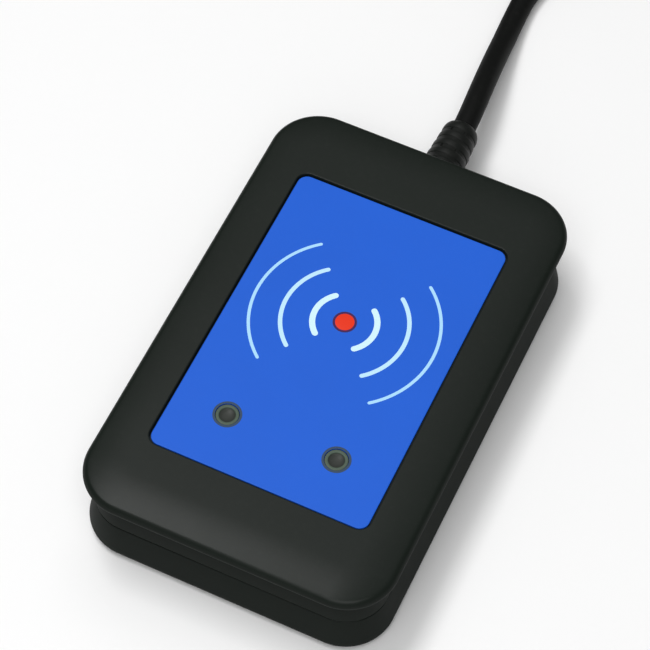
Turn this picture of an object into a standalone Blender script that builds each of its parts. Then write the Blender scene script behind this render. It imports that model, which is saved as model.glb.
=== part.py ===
"""Desktop RFID card reader with its USB lead, as an assembly of separate pieces.

The housing lies flat on four rubber feet. +Z is up, +Y is towards the cable, +X is
to the right, and the origin is on the table under the middle of the housing.
All lengths are in metres.
"""

import math

import bmesh
import bpy
from mathutils import Matrix, Vector

MM = 0.001

# Housing
WIDTH = 56.0 * MM
LENGTH = 88.0 * MM
HEIGHT = 18.0 * MM
CORNER_RADIUS = 9.0 * MM
CORNER_SEGMENTS = 8
WALL = 1.8 * MM
UNDERSIDE_Z = 0.6 * MM
FLOOR_Z = UNDERSIDE_Z + WALL
PARTING_Z = 8.3 * MM
PARTING_GAP = 0.3 * MM
PARTING_INSET = 1.55 * MM
CREASE_INSET = 2.4 * MM
CREASE_Z = 11.7 * MM
LIP_HEIGHT = 1.05 * MM
CEILING_Z = 15.6 * MM

# Front label and indicator windows
LABEL_WIDTH = 39.5 * MM
LABEL_LENGTH = 59.8 * MM
LABEL_RADIUS = 1.8 * MM
LABEL_TOP_Z = 17.6 * MM
LABEL_THICKNESS = 0.4 * MM
WINDOW_X = 10.0 * MM
WINDOW_Y = -19.8 * MM

# Inside
BOARD_SIZE = Vector((47.0, 73.0, 1.6)) * MM
BOARD_Z = 5.7 * MM
BOARD_TOP_Z = BOARD_Z + BOARD_SIZE.z
CASE_SCREW_X = 20.2 * MM
CASE_SCREW_Y = 36.2 * MM
BOARD_SCREW_X = 14.0 * MM
BOARD_SCREW_Y = 25.0 * MM
FOOT_X = 19.0 * MM
FOOT_Y = 27.0 * MM

# Cable, its coil and its plug
CABLE_DIAMETER = 4.4 * MM
CABLE_EXIT_Y = 56.8 * MM
CABLE_AXIS_Z = 9.2 * MM
COIL_CENTRE = Vector((-22.0, 136.0, 0.0)) * MM
COIL_MEAN_RADIUS = 24.3 * MM
COIL_COLUMNS = 6
COIL_LAYERS = 2
TIE_THICKNESS = 0.8 * MM
TIE_WIDTH = 5.0 * MM
COIL_BASE_Z = 0.0
COIL_TOP_Z = COIL_BASE_Z + COIL_LAYERS * CABLE_DIAMETER
TIE_ANGLE = math.radians(10.0)
PLUG_HEADING = math.radians(284.0)
PLUG_OFFSET = 16.0 * MM
PLUG_BODY = Vector((16.0, 25.0, 8.0)) * MM
PLUG_REAR = -8.0 * MM
PLUG_SHELL = Vector((12.0, 12.0, 4.5)) * MM
CONTACT_SIZE = Vector((1.1, 8.0, 0.2)) * MM
GAP = 0.3 * MM

# Where the cable lies between its strain relief and the coil
CABLE_ROUTE = (
    Vector((0.0, 57.1, 9.2)) * MM,
    Vector((-0.2, 61.0, 9.1)) * MM,
    Vector((-0.7, 66.0, 8.5)) * MM,
    Vector((-1.4, 72.0, 7.1)) * MM,
    Vector((-2.1, 78.0, 5.3)) * MM,
    Vector((-2.7, 84.0, 3.6)) * MM,
    Vector((-3.2, 90.0, 2.6)) * MM,
    Vector((-3.3, 96.0, 2.3)) * MM,
    Vector((-2.3, 101.4, 2.25)) * MM,
)

PARTS = None
CUTTERS = None


# ---------------------------------------------------------------- helpers

def clear_scene():
    for obj in list(bpy.data.objects):
        bpy.data.objects.remove(obj, do_unlink=True)


def new_collection(name):
    collection = bpy.data.collections.new(name)
    bpy.context.scene.collection.children.link(collection)
    return collection


def material(name, colour, roughness, metallic=0.0, alpha=1.0):
    mat = bpy.data.materials.get(name)
    if mat is None:
        mat = bpy.data.materials.new(name)
        mat.use_nodes = True
        shader = mat.node_tree.nodes["Principled BSDF"]
        shader.inputs["Base Color"].default_value = (*colour, 1.0)
        shader.inputs["Roughness"].default_value = roughness
        shader.inputs["Metallic"].default_value = metallic
        shader.inputs["Alpha"].default_value = alpha
    return mat


def add_object(name, mesh, mat, place=(0, 0, 0), turn=0.0):
    """A visible part, smooth on its round faces, turned about Z and moved into place."""
    obj = bpy.data.objects.new(name, mesh)
    PARTS.objects.link(obj)
    obj.location = place
    obj.rotation_euler = (0.0, 0.0, turn)
    if mat is not None and not mesh.materials:
        mesh.materials.append(mat)
    return obj


def mesh_of(bm, name):
    bmesh.ops.recalc_face_normals(bm, faces=bm.faces)
    mesh = bpy.data.meshes.new(name)
    bm.to_mesh(mesh)
    bm.free()
    mesh.shade_smooth()
    mesh.set_sharp_from_angle(angle=math.radians(35))
    return mesh


def helper(name, mesh, place=(0, 0, 0), turn=0.0):
    """A hidden solid that only cuts or joins."""
    obj = bpy.data.objects.new(name, mesh)
    CUTTERS.objects.link(obj)
    obj.location = place
    obj.rotation_euler = (0.0, 0.0, turn)
    obj.hide_render = True
    obj.display_type = "WIRE"
    return obj


def boolean(obj, other, operation):
    modifier = obj.modifiers.new(other.name, "BOOLEAN")
    modifier.operation = operation
    modifier.object = other


def box(bm, centre, size, radius=0.0, segments=3, all_edges=False):
    """A block with its upright edges, or all of its edges, rounded."""
    made = bmesh.ops.create_cube(bm, size=1.0)["verts"]
    bmesh.ops.scale(bm, vec=size, verts=made)
    bmesh.ops.translate(bm, vec=centre, verts=made)
    if radius > 0.0:
        edges = {edge for vert in made for edge in vert.link_edges}
        upright = [e for e in edges if abs(e.verts[0].co.z - e.verts[1].co.z) > 0.5 * size[2]]
        bmesh.ops.bevel(
            bm, geom=list(edges) if all_edges else upright, offset=radius,
            segments=segments, profile=0.5, affect="EDGES",
        )


def box_mesh(name, size, radius=0.0, segments=3, all_edges=False, centre=(0, 0, 0)):
    bm = bmesh.new()
    box(bm, centre, size, radius, segments, all_edges)
    return mesh_of(bm, name)


def block(name, low_centre, size, mat, radius=0.0, segments=2, all_edges=False):
    """A visible block that stands on the point low_centre."""
    mesh = box_mesh(name, size, radius, segments, all_edges)
    place = Vector(low_centre) + Vector((0, 0, size[2] / 2))
    return add_object(name, mesh, mat, place)


def cylinder(bm, x, y, z_low, z_high, radius, segments=24, top_radius=None):
    place = Matrix.Translation((x, y, (z_low + z_high) / 2))
    bmesh.ops.create_cone(
        bm, cap_ends=True, segments=segments, radius1=radius,
        radius2=radius if top_radius is None else top_radius,
        depth=z_high - z_low, matrix=place,
    )


def lathe(name, profile, mat, place=(0, 0, 0), steps=24, closed=False, hidden=False):
    """Turns (radius, height) points, given down the outer side, about Z."""
    mesh = bpy.data.meshes.new(name)
    bm = bmesh.new()
    verts = [bm.verts.new((radius, 0.0, height)) for radius, height in profile]
    for first, second in zip(verts, verts[1:] + verts[:1] if closed else verts[1:]):
        bm.edges.new((first, second))
    bm.to_mesh(mesh)
    bm.free()
    obj = helper(name, mesh, place) if hidden else add_object(name, mesh, mat, place)
    screw = obj.modifiers.new("turn", "SCREW")
    screw.steps = steps
    screw.render_steps = steps
    screw.use_merge_vertices = True
    screw.merge_threshold = 0.00001
    screw.use_smooth_shade = True
    return obj


def arc(centre, radius, start, end, steps):
    """Points of a circular arc as (inset, height); the angle is the outward tilt upwards."""
    points = []
    for step in range(steps + 1):
        angle = math.radians(start + (end - start) * step / steps)
        points.append((centre[0] - radius * math.cos(angle), centre[1] + radius * math.sin(angle)))
    return points


def move_ring(verts, inset, height):
    """Puts a ring of points on the housing's outline, pulled in by inset."""
    for vert in verts:
        corner = Vector((
            math.copysign(WIDTH / 2 - CORNER_RADIUS, vert.co.x),
            math.copysign(LENGTH / 2 - CORNER_RADIUS, vert.co.y),
        ))
        outward = (vert.co.xy - corner).normalized()
        vert.co.xy = corner + outward * (CORNER_RADIUS - inset)
        vert.co.z = height


def shell_mesh(name, stations):
    """A cover: the outline is extruded from station to station, outside and then inside."""
    bm = bmesh.new()
    bmesh.ops.create_grid(bm, x_segments=1, y_segments=1, size=0.5)
    inset, height = stations[0]
    size = (WIDTH - 2 * inset, LENGTH - 2 * inset, 1.0)
    bmesh.ops.scale(bm, vec=size, verts=bm.verts)
    bmesh.ops.bevel(
        bm, geom=bm.verts[:], offset=CORNER_RADIUS - inset, segments=CORNER_SEGMENTS,
        profile=0.5, affect="VERTICES",
    )
    move_ring(bm.verts, inset, height)
    ring = [edge for edge in bm.edges if edge.is_boundary]
    for inset, height in stations[1:]:
        made = bmesh.ops.extrude_edge_only(bm, edges=ring)["geom"]
        ring = [item for item in made if isinstance(item, bmesh.types.BMEdge) and item.is_boundary]
        move_ring({vert for edge in ring for vert in edge.verts}, inset, height)
    bmesh.ops.contextual_create(bm, geom=ring)
    return mesh_of(bm, name)


def smooth_route(points, spacing):
    """Points about spacing apart on a smooth curve through the given points."""
    found = [points[0]]
    ends = [2 * points[0] - points[1], *points, 2 * points[-1] - points[-2]]
    for a, b, c, d in zip(ends, ends[1:], ends[2:], ends[3:]):
        count = max(1, round((c - b).length / spacing))
        for step in range(1, count + 1):
            t = step / count
            found.append(
                0.5 * ((2 * b) + (c - a) * t + (2 * a - 5 * b + 4 * c - d) * t ** 2
                       + (3 * b - a - 3 * c + d) * t ** 3)
            )
    return found


def tube(name, points, diameter, mat, resolution=2):
    curve = bpy.data.curves.new(name, "CURVE")
    curve.dimensions = "3D"
    curve.bevel_depth = diameter / 2
    curve.bevel_resolution = resolution
    curve.use_fill_caps = True
    spline = curve.splines.new("POLY")
    spline.points.add(len(points) - 1)
    for target, point in zip(spline.points, points):
        target.co = (*point, 1.0)
    curve.materials.append(mat)
    obj = bpy.data.objects.new(name, curve)
    PARTS.objects.link(obj)
    return obj


# ---------------------------------------------------------------- materials

def plastic():
    return material("housing_plastic", (0.022, 0.028, 0.024), 0.42)


def rubber():
    return material("black_rubber", (0.012, 0.012, 0.013), 0.6)


def cable_jacket():
    return material("cable_jacket", (0.014, 0.014, 0.015), 0.45)


def steel():
    return material("plated_steel", (0.62, 0.61, 0.58), 0.3, 1.0)


def copper():
    return material("enamelled_copper", (0.55, 0.2, 0.07), 0.35, 1.0)


def chip_black():
    return material("chip_black", (0.02, 0.02, 0.02), 0.5)


# ---------------------------------------------------------------- housing

def bottom_cover():
    rim_z = PARTING_Z - PARTING_GAP / 2
    edge = arc((1.85 * MM, 2.2 * MM), 1.6 * MM, -90.0, 12.0, 5)
    lip_outer = PARTING_INSET + 0.95 * MM
    lip_inner = PARTING_INSET + WALL
    floor_corner = (3.4 * MM, FLOOR_Z)
    stations = edge + [
        (PARTING_INSET, rim_z),
        (lip_outer, rim_z),
        (lip_outer, rim_z + LIP_HEIGHT),
        (lip_inner, rim_z + LIP_HEIGHT),
        (2.55 * MM, 3.6 * MM),
        floor_corner,
    ]
    cover = add_object("bottom_cover", shell_mesh("bottom_cover", stations), plastic())

    posts = bmesh.new()
    for x in (-CASE_SCREW_X, CASE_SCREW_X):
        for y in (-CASE_SCREW_Y, CASE_SCREW_Y):
            cylinder(posts, x, y, FLOOR_Z - 0.8 * MM, rim_z, 3.2 * MM, 20)
    for x in (-BOARD_SCREW_X, BOARD_SCREW_X):
        for y in (-BOARD_SCREW_Y, BOARD_SCREW_Y):
            cylinder(posts, x, y, FLOOR_Z - 0.8 * MM, BOARD_Z - GAP, 2.5 * MM, 16)
    boolean(cover, helper("bottom_posts", mesh_of(posts, "bottom_posts")), "UNION")

    holes = bmesh.new()
    for x in (-CASE_SCREW_X, CASE_SCREW_X):
        for y in (-CASE_SCREW_Y, CASE_SCREW_Y):
            cylinder(holes, x, y, -1.0 * MM, 2.9 * MM, 2.6 * MM, 20)
    for x in (-FOOT_X, FOOT_X):
        for y in (-FOOT_Y, FOOT_Y):
            cylinder(holes, x, y, -1.0 * MM, 1.4 * MM, 4.4 * MM, 24)
    box(holes, (0, 0, 0), (26.6 * MM, 36.6 * MM, 1.8 * MM), 1.5 * MM, 2)
    boolean(cover, helper("bottom_recesses", mesh_of(holes, "bottom_recesses")), "DIFFERENCE")

    bores = bmesh.new()
    for x in (-CASE_SCREW_X, CASE_SCREW_X):
        for y in (-CASE_SCREW_Y, CASE_SCREW_Y):
            cylinder(bores, x, y, 1.5 * MM, 12.0 * MM, 1.4 * MM, 12)
    for x in (-BOARD_SCREW_X, BOARD_SCREW_X):
        for y in (-BOARD_SCREW_Y, BOARD_SCREW_Y):
            cylinder(bores, x, y, 2.9 * MM, 9.0 * MM, 1.1 * MM, 12)
    boolean(cover, helper("bottom_bores", mesh_of(bores, "bottom_bores")), "DIFFERENCE")
    boolean(cover, cable_opening(), "DIFFERENCE")


def top_cover():
    rim_z = PARTING_Z + PARTING_GAP / 2
    nose_centre = (1.2 * MM, 16.36 * MM)
    nose = arc(nose_centre, 1.2 * MM, 82.0, -29.0, 6)
    flat_inset = 7.5 * MM
    slope = math.radians(8.0)
    dome_radius = (flat_inset - nose[0][0]) / math.sin(slope)
    dome = [
        (flat_inset - dome_radius * math.sin(slope * part),
         HEIGHT - dome_radius * (1 - math.cos(slope * part)))
        for part in (0.0, 0.33, 0.67)
    ]
    crease = arc((CREASE_INSET - 1.0 * MM, CREASE_Z), 1.0 * MM, 151.0, 194.0, 3)
    rebate = PARTING_INSET + 0.65 * MM
    inner = PARTING_INSET + WALL + GAP + 0.25 * MM
    stations = dome + nose + crease + [
        (PARTING_INSET, rim_z),
        (rebate, rim_z),
        (rebate, rim_z + LIP_HEIGHT),
        (inner, rim_z + LIP_HEIGHT),
        (inner + 0.1 * MM, CREASE_Z),
        (2.6 * MM, 14.7 * MM),
        (3.5 * MM, CEILING_Z),
    ]
    cover = add_object("top_cover", shell_mesh("top_cover", stations), plastic())

    bosses = bmesh.new()
    for x in (-CASE_SCREW_X, CASE_SCREW_X):
        for y in (-CASE_SCREW_Y, CASE_SCREW_Y):
            cylinder(bosses, x, y, rim_z, CEILING_Z + 0.8 * MM, 2.9 * MM, 20)
    boolean(cover, helper("top_bosses", mesh_of(bosses, "top_bosses")), "UNION")

    recess_floor = LABEL_TOP_Z - LABEL_THICKNESS - 0.05 * MM
    recess = box_mesh(
        "label_recess", (LABEL_WIDTH + 0.4 * MM, LABEL_LENGTH + 0.4 * MM, 2.0 * MM),
        LABEL_RADIUS + 0.2 * MM, 4, False, (0, 0, recess_floor + 1.0 * MM),
    )
    boolean(cover, helper("label_recess", recess), "DIFFERENCE")

    holes = bmesh.new()
    for x in (-WINDOW_X, WINDOW_X):
        cylinder(holes, x, WINDOW_Y, CEILING_Z - 1.0 * MM, HEIGHT + 1.0 * MM, 2.3 * MM, 24)
    for x in (-CASE_SCREW_X, CASE_SCREW_X):
        for y in (-CASE_SCREW_Y, CASE_SCREW_Y):
            cylinder(holes, x, y, rim_z - 1.0 * MM, 14.2 * MM, 1.3 * MM, 12)
    boolean(cover, helper("top_holes", mesh_of(holes, "top_holes")), "DIFFERENCE")
    boolean(cover, cable_opening(), "DIFFERENCE")


def cable_opening():
    """The round way through the rear wall, shared by both covers."""
    found = bpy.data.objects.get("cable_opening")
    if found is not None:
        return found
    bm = bmesh.new()
    cylinder(bm, 0, 0, -3.2 * MM, 3.2 * MM, 3.3 * MM, 24)
    turn = Matrix.Rotation(math.pi / 2, 3, "X")
    bmesh.ops.rotate(bm, cent=(0, 0, 0), matrix=turn, verts=bm.verts)
    place = (0, LENGTH / 2 - 2.6 * MM, CABLE_AXIS_Z)
    return helper("cable_opening", mesh_of(bm, "cable_opening"), place)


def front_label():
    film = material("label_film", (0.026, 0.136, 0.716), 0.4)
    mesh = box_mesh("front_label", (LABEL_WIDTH, LABEL_LENGTH, LABEL_THICKNESS), LABEL_RADIUS, 4)
    label = add_object("front_label", mesh, film, (0, 0, LABEL_TOP_Z - LABEL_THICKNESS / 2))
    holes = bmesh.new()
    for x in (-WINDOW_X, WINDOW_X):
        cylinder(holes, x, WINDOW_Y, LABEL_TOP_Z - 1.0 * MM, LABEL_TOP_Z + 1.0 * MM, 2.5 * MM, 24)
    boolean(label, helper("label_holes", mesh_of(holes, "label_holes")), "DIFFERENCE")


def rating_label():
    paper = material("rating_label_film", (0.6, 0.61, 0.6), 0.5)
    block("rating_label", (0, 0, 0.68 * MM), (26.0 * MM, 36.0 * MM, 0.17 * MM), paper, 1.2 * MM)


def light_pipes():
    clear = material("clear_acrylic", (0.3, 0.34, 0.3), 0.15)
    top = LABEL_TOP_Z - 0.1 * MM
    profile = [
        (0.0, top - 0.35 * MM), (1.1 * MM, top - 0.35 * MM), (1.35 * MM, top), (1.85 * MM, top),
        (2.0 * MM, top - 0.15 * MM), (2.0 * MM, 15.3 * MM), (2.8 * MM, 15.3 * MM),
        (2.8 * MM, 14.3 * MM), (1.5 * MM, 14.3 * MM), (1.5 * MM, 9.7 * MM), (0.0, 9.7 * MM),
    ]
    for side, x in (("left", -WINDOW_X), ("right", WINDOW_X)):
        lathe(f"light_pipe_{side}", profile, clear, (x, WINDOW_Y, 0), 20)


def rubber_feet():
    profile = [
        (0.0, 1.1 * MM), (4.05 * MM, 1.1 * MM), (4.05 * MM, 0.3 * MM), (3.75 * MM, 0.0),
        (0.0, 0.0),
    ]
    for row, y in (("front", -FOOT_Y), ("rear", FOOT_Y)):
        for side, x in (("left", -FOOT_X), ("right", FOOT_X)):
            lathe(f"foot_{row}_{side}", profile, rubber(), (x, y, 0), 24)


def case_screws():
    profile = [
        (0.0, 12.6 * MM), (0.6 * MM, 12.4 * MM), (1.0 * MM, 11.6 * MM), (1.0 * MM, 2.6 * MM),
        (2.25 * MM, 2.6 * MM), (2.25 * MM, 1.5 * MM), (1.7 * MM, 1.0 * MM),
        (0.9 * MM, 1.0 * MM), (0.0, 1.9 * MM),
    ]
    for row, y in (("front", -CASE_SCREW_Y), ("rear", CASE_SCREW_Y)):
        for side, x in (("left", -CASE_SCREW_X), ("right", CASE_SCREW_X)):
            lathe(f"case_screw_{row}_{side}", profile, steel(), (x, y, 0), 12)


# ---------------------------------------------------------------- electronics

def circuit_board():
    green = material("board_green", (0.01, 0.09, 0.035), 0.4)
    board = block("circuit_board", (0, 0, BOARD_Z), BOARD_SIZE, green, 1.0 * MM, 2)
    holes = bmesh.new()
    low, high = BOARD_Z - 1.0 * MM, BOARD_TOP_Z + 1.0 * MM
    for x in (-1, 1):
        for y in (-1, 1):
            cylinder(holes, x * CASE_SCREW_X, y * CASE_SCREW_Y, low, high, 3.9 * MM, 20)
            cylinder(holes, x * BOARD_SCREW_X, y * BOARD_SCREW_Y, low, high, 1.3 * MM, 12)
    boolean(board, helper("board_holes", mesh_of(holes, "board_holes")), "DIFFERENCE")


def board_screws():
    head = BOARD_TOP_Z + 0.1 * MM
    profile = [
        (0.0, head + 0.5 * MM), (0.7 * MM, head + 1.3 * MM), (1.4 * MM, head + 1.3 * MM),
        (2.0 * MM, head + 0.9 * MM), (2.0 * MM, head), (0.85 * MM, head),
        (0.85 * MM, 3.6 * MM), (0.0, 3.2 * MM),
    ]
    for row, y in (("front", -BOARD_SCREW_Y), ("rear", BOARD_SCREW_Y)):
        for side, x in (("left", -BOARD_SCREW_X), ("right", BOARD_SCREW_X)):
            lathe(f"board_screw_{row}_{side}", profile, steel(), (x, y, 0), 12)


def frame_loop(name, outer, band, radius, low, height, mat):
    """A flat rectangular loop with round corners, such as a wound or printed antenna."""
    mesh = box_mesh(name, (outer[0], outer[1], height), radius, 4)
    loop = add_object(name, mesh, mat, (0, 0, low + height / 2))
    inner = (outer[0] - 2 * band, outer[1] - 2 * band, height + 1.0 * MM)
    cutter = helper(f"{name}_inside", box_mesh(f"{name}_inside", inner, radius - band, 4))
    cutter.location = loop.location
    boolean(loop, cutter, "DIFFERENCE")


def antennas():
    frame_loop(
        "low_frequency_antenna_coil", (43.0 * MM, 69.0 * MM), 2.4 * MM, 11.0 * MM,
        BOARD_TOP_Z + 0.1 * MM, 1.9 * MM, copper(),
    )
    frame_loop(
        "high_frequency_antenna_loop", (37.0 * MM, 62.0 * MM), 1.0 * MM, 8.5 * MM,
        BOARD_TOP_Z + 0.05 * MM, 0.15 * MM, copper(),
    )


def board_block(name, spot, size, mat, radius, segments=2):
    """A part that stands on the board; its spot, size and corner radius are in millimetres."""
    low_centre = (spot[0] * MM, spot[1] * MM, BOARD_TOP_Z + 0.1 * MM)
    block(name, low_centre, Vector(size) * MM, mat, radius * MM, segments)


def board_parts():
    base = BOARD_TOP_Z + 0.1 * MM
    tin = steel()
    black = chip_black()
    green = material("led_green_lens", (0.1, 0.5, 0.15), 0.2)
    red = material("led_red_lens", (0.6, 0.05, 0.04), 0.2)
    socket = material("socket_ivory", (0.72, 0.68, 0.58), 0.45)
    led = (3.2 * MM, 2.8 * MM, 1.9 * MM)
    block("led_green", (-WINDOW_X, WINDOW_Y, base), led, green, 0.4 * MM)
    block("led_red", (WINDOW_X, WINDOW_Y, base), led, red, 0.4 * MM)
    board_block("microcontroller", (-4.0, 4.0), (10.0, 10.0, 1.4), black, 0.3)
    board_block("radio_chip", (8.5, -2.0), (7.0, 7.0, 0.9), black, 0.3)
    board_block("crystal", (8.5, 8.0), (11.0, 4.6, 3.4), tin, 2.2, 4)
    board_block("voltage_regulator", (-11.0, 19.0), (6.5, 3.5, 1.6), black, 0.3)
    board_block("supply_capacitor", (12.0, 19.0), (6.6, 6.6, 5.4), tin, 3.1, 5)
    board_block("tuning_capacitor", (-12.0, -8.0), (4.5, 3.2, 1.8), socket, 0.2)
    board_block("cable_socket", (0.0, 22.0), (11.0, 5.0, 3.0), socket, 0.3)
    board_block("cable_connector", (0.0, 26.6), (10.0, 3.4, 3.0), socket, 0.3)
    buzzer = [
        (0.0, base + 5.0 * MM), (1.3 * MM, base + 5.0 * MM), (1.3 * MM, base + 5.6 * MM),
        (5.6 * MM, base + 5.6 * MM), (6.0 * MM, base + 5.2 * MM), (6.0 * MM, base), (0.0, base),
    ]
    lathe("buzzer", buzzer, black, (0, -10.5 * MM, 0), 24)


def inner_wires():
    colours = {
        "red": (0.5, 0.02, 0.02), "white": (0.75, 0.75, 0.72),
        "green": (0.02, 0.25, 0.06), "black": (0.012, 0.012, 0.012),
    }
    top = BOARD_TOP_Z + 2.0 * MM
    for index, (name, colour) in enumerate(colours.items()):
        near = (index - 1.5) * 1.15 * MM
        far = (index - 1.5) * 2.0 * MM
        route = (
            Vector((near, 36.7 * MM, CABLE_AXIS_Z)),
            Vector((near, 35.9 * MM, CABLE_AXIS_Z + 0.6 * MM)),
            Vector(((near + far) / 2, 34.0 * MM, top + 1.2 * MM)),
            Vector((far, 31.6 * MM, top + 1.1 * MM)),
            Vector((far, 29.7 * MM, top - 0.1 * MM)),
            Vector((far, 28.7 * MM, top - 0.3 * MM)),
        )
        insulation = material(f"wire_{name}", colour, 0.4)
        tube(f"wire_{name}", smooth_route(route, 1.3 * MM), 1.0 * MM, insulation, 1)


# ---------------------------------------------------------------- cable

def strain_relief():
    """A ribbed sleeve that starts inside the rear wall and tapers to the cable."""
    profile = [
        (0.0, 37.0), (2.3, 37.0), (2.3, 38.3), (4.3, 38.3), (4.3, 39.7), (3.0, 39.7),
        (3.0, 43.45), (3.9, 43.45), (4.0, 43.9), (3.9, 45.5), (2.9, 45.6),
    ]
    rib_radius, groove_radius = 3.8, 2.85
    y = 46.5
    for _ in range(3):
        profile += [(groove_radius, y), (rib_radius, y + 0.15), (rib_radius - 0.1, y + 1.65)]
        profile += [(groove_radius, y + 1.75)]
        rib_radius -= 0.16
        groove_radius -= 0.05
        y += 2.6
    profile += [
        (groove_radius, y), (3.1, y + 0.1), (3.25, y + 0.7), (3.2, y + 1.5), (2.9, y + 2.15),
        (2.5, CABLE_EXIT_Y / MM), (0.0, CABLE_EXIT_Y / MM),
    ]
    points = [(radius * MM, height * MM) for radius, height in reversed(profile)]
    obj = lathe("strain_relief", points, rubber(), (0, 0, CABLE_AXIS_Z), 16)
    obj.rotation_euler = (-math.pi / 2, 0, 0)


def usb_cable():
    points = smooth_route(CABLE_ROUTE, CABLE_DIAMETER)
    tube("usb_cable", points, CABLE_DIAMETER, cable_jacket(), 2)


def tie_place(height):
    """The point at this height on the coil's middle circle where the tie sits."""
    return COIL_CENTRE + Matrix.Rotation(TIE_ANGLE, 3, "Z") @ Vector((COIL_MEAN_RADIUS, 0, height))


def cable_coil():
    """The outer shape of the wound turns: a ring with rounded edges and a notch under the tie."""
    half = COIL_COLUMNS * CABLE_DIAMETER / 2
    outer, inner = COIL_MEAN_RADIUS + half, COIL_MEAN_RADIUS - half
    edge = CABLE_DIAMETER / 2
    profile = []
    for centre, first in (
        ((outer - edge, COIL_TOP_Z - edge), 90), ((outer - edge, COIL_BASE_Z + edge), 0),
        ((inner + edge, COIL_BASE_Z + edge), -90), ((inner + edge, COIL_TOP_Z - edge), -180),
    ):
        for step in range(4):
            angle = math.radians(first - 30 * step)
            profile.append((centre[0] + edge * math.cos(angle), centre[1] + edge * math.sin(angle)))
    coil = lathe("cable_coil", profile, cable_jacket(), COIL_CENTRE, 40, closed=True)
    notch_depth = TIE_THICKNESS + GAP
    notch_size = (2 * half + 2 * MM, TIE_WIDTH + 2 * GAP, 2 * notch_depth)
    notch_mesh = box_mesh("tie_notch", notch_size)
    notch = helper("tie_notch", notch_mesh, tie_place(COIL_BASE_Z), TIE_ANGLE)
    boolean(coil, notch, "DIFFERENCE")


def cable_tie():
    """A strap round the coil's section, away from the plug."""
    band = material("tie_band", (0.02, 0.02, 0.021), 0.55)
    width = COIL_COLUMNS * CABLE_DIAMETER + 4 * GAP
    low = COIL_BASE_Z + TIE_THICKNESS
    high = COIL_TOP_Z + GAP
    place = tie_place((low + high) / 2)
    wall = 2 * TIE_THICKNESS
    outer = box_mesh("cable_tie", (width + wall, TIE_WIDTH, high - low + wall))
    inside_mesh = box_mesh("cable_tie_inside", (width, TIE_WIDTH + 2 * MM, high - low))
    inside = helper("cable_tie_inside", inside_mesh, place, TIE_ANGLE)
    tie = add_object("cable_tie", outer, band, place, TIE_ANGLE)
    boolean(tie, inside, "DIFFERENCE")


def plug_frame():
    """An empty on the plug's axis, 8 mm ahead of its rear face; the plug points along its +Y."""
    side = Vector((math.sin(PLUG_HEADING), -math.cos(PLUG_HEADING), 0))
    frame = bpy.data.objects.new("plug_frame", None)
    PARTS.objects.link(frame)
    frame.location = COIL_CENTRE + side * PLUG_OFFSET
    frame.location.z = COIL_TOP_Z + GAP + PLUG_BODY.z / 2
    frame.rotation_euler = (0, 0, PLUG_HEADING - math.pi / 2)
    return frame


def usb_plug():
    frame = plug_frame()
    body_centre = (0, PLUG_REAR + PLUG_BODY.y / 2, 0)
    body_mesh = box_mesh("plug_overmould", PLUG_BODY, 1.6 * MM, 3, True, body_centre)
    body = add_object("plug_overmould", body_mesh, cable_jacket())
    sleeve = [
        (0.0, 2.0 * MM), (3.2 * MM, 2.0 * MM), (3.1 * MM, -1.0 * MM), (2.9 * MM, -4.0 * MM),
        (2.7 * MM, -8.0 * MM), (0.0, -8.0 * MM),
    ]
    relief = lathe("plug_sleeve", sleeve, None, (0, PLUG_REAR, 0), 16, hidden=True)
    relief.rotation_euler = (-math.pi / 2, 0, 0)
    relief.parent = frame
    boolean(body, relief, "UNION")

    size = PLUG_SHELL
    wall = 0.3 * MM
    middle = PLUG_REAR + PLUG_BODY.y + GAP + size.y / 2
    tube_mesh = box_mesh("plug_shell", size, centre=(0, middle, 0))
    shell = add_object("plug_shell", tube_mesh, steel())
    hollow = (size.x - 2 * wall, size.y + 2 * MM, size.z - 2 * wall)
    inside_mesh = box_mesh("plug_shell_inside", hollow, centre=(0, middle, 0))
    inside = helper("plug_shell_inside", inside_mesh)
    windows = bmesh.new()
    for x in (-3.0 * MM, 3.0 * MM):
        box(windows, (x, middle + 0.2 * MM, 0), (2.5 * MM, 2.0 * MM, size.z + 2 * MM))
    latch = helper("plug_shell_windows", mesh_of(windows, "plug_shell_windows"))
    boolean(shell, inside, "DIFFERENCE")
    boolean(shell, latch, "DIFFERENCE")

    ivory = material("tongue_white", (0.75, 0.75, 0.73), 0.45)
    tongue_size = (11.0 * MM, size.y - 0.6 * MM, 1.7 * MM)
    tongue_z = -size.z / 2 + wall + 0.15 * MM + tongue_size[2] / 2
    tongue_centre = (0, middle - 0.1 * MM, tongue_z)
    tongue_mesh = box_mesh("plug_tongue", tongue_size, centre=tongue_centre)
    tongue = add_object("plug_tongue", tongue_mesh, ivory)
    gold = material("gold_contact", (0.83, 0.6, 0.22), 0.25, 1.0)
    contacts = []
    contact_z = tongue_z + tongue_size[2] / 2 + 0.15 * MM
    for number, x in enumerate((-3.5, -1.0, 1.0, 3.5), 1):
        contact_centre = (x * MM, middle - 0.6 * MM, contact_z)
        mesh = box_mesh(f"plug_contact_{number}", CONTACT_SIZE, centre=contact_centre)
        contacts.append(add_object(f"plug_contact_{number}", mesh, gold))
    for obj in (body, shell, inside, latch, tongue, *contacts):
        obj.parent = frame


def main():
    global PARTS, CUTTERS
    clear_scene()
    PARTS = new_collection("rfid_card_reader")
    CUTTERS = new_collection("cutters")
    bottom_cover()
    top_cover()
    front_label()
    rating_label()
    light_pipes()
    rubber_feet()
    case_screws()
    circuit_board()
    board_screws()
    antennas()
    board_parts()
    inner_wires()
    strain_relief()
    usb_cable()
    cable_coil()
    cable_tie()
    usb_plug()


main()
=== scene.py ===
"""Desktop card reader with its USB lead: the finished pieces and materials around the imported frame.

The reader lies flat on its feet. +Z is up, +Y is towards the cable, +X is to the right, and the
origin is on the table under the middle of the housing. All lengths are in metres.
"""

import math

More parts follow.
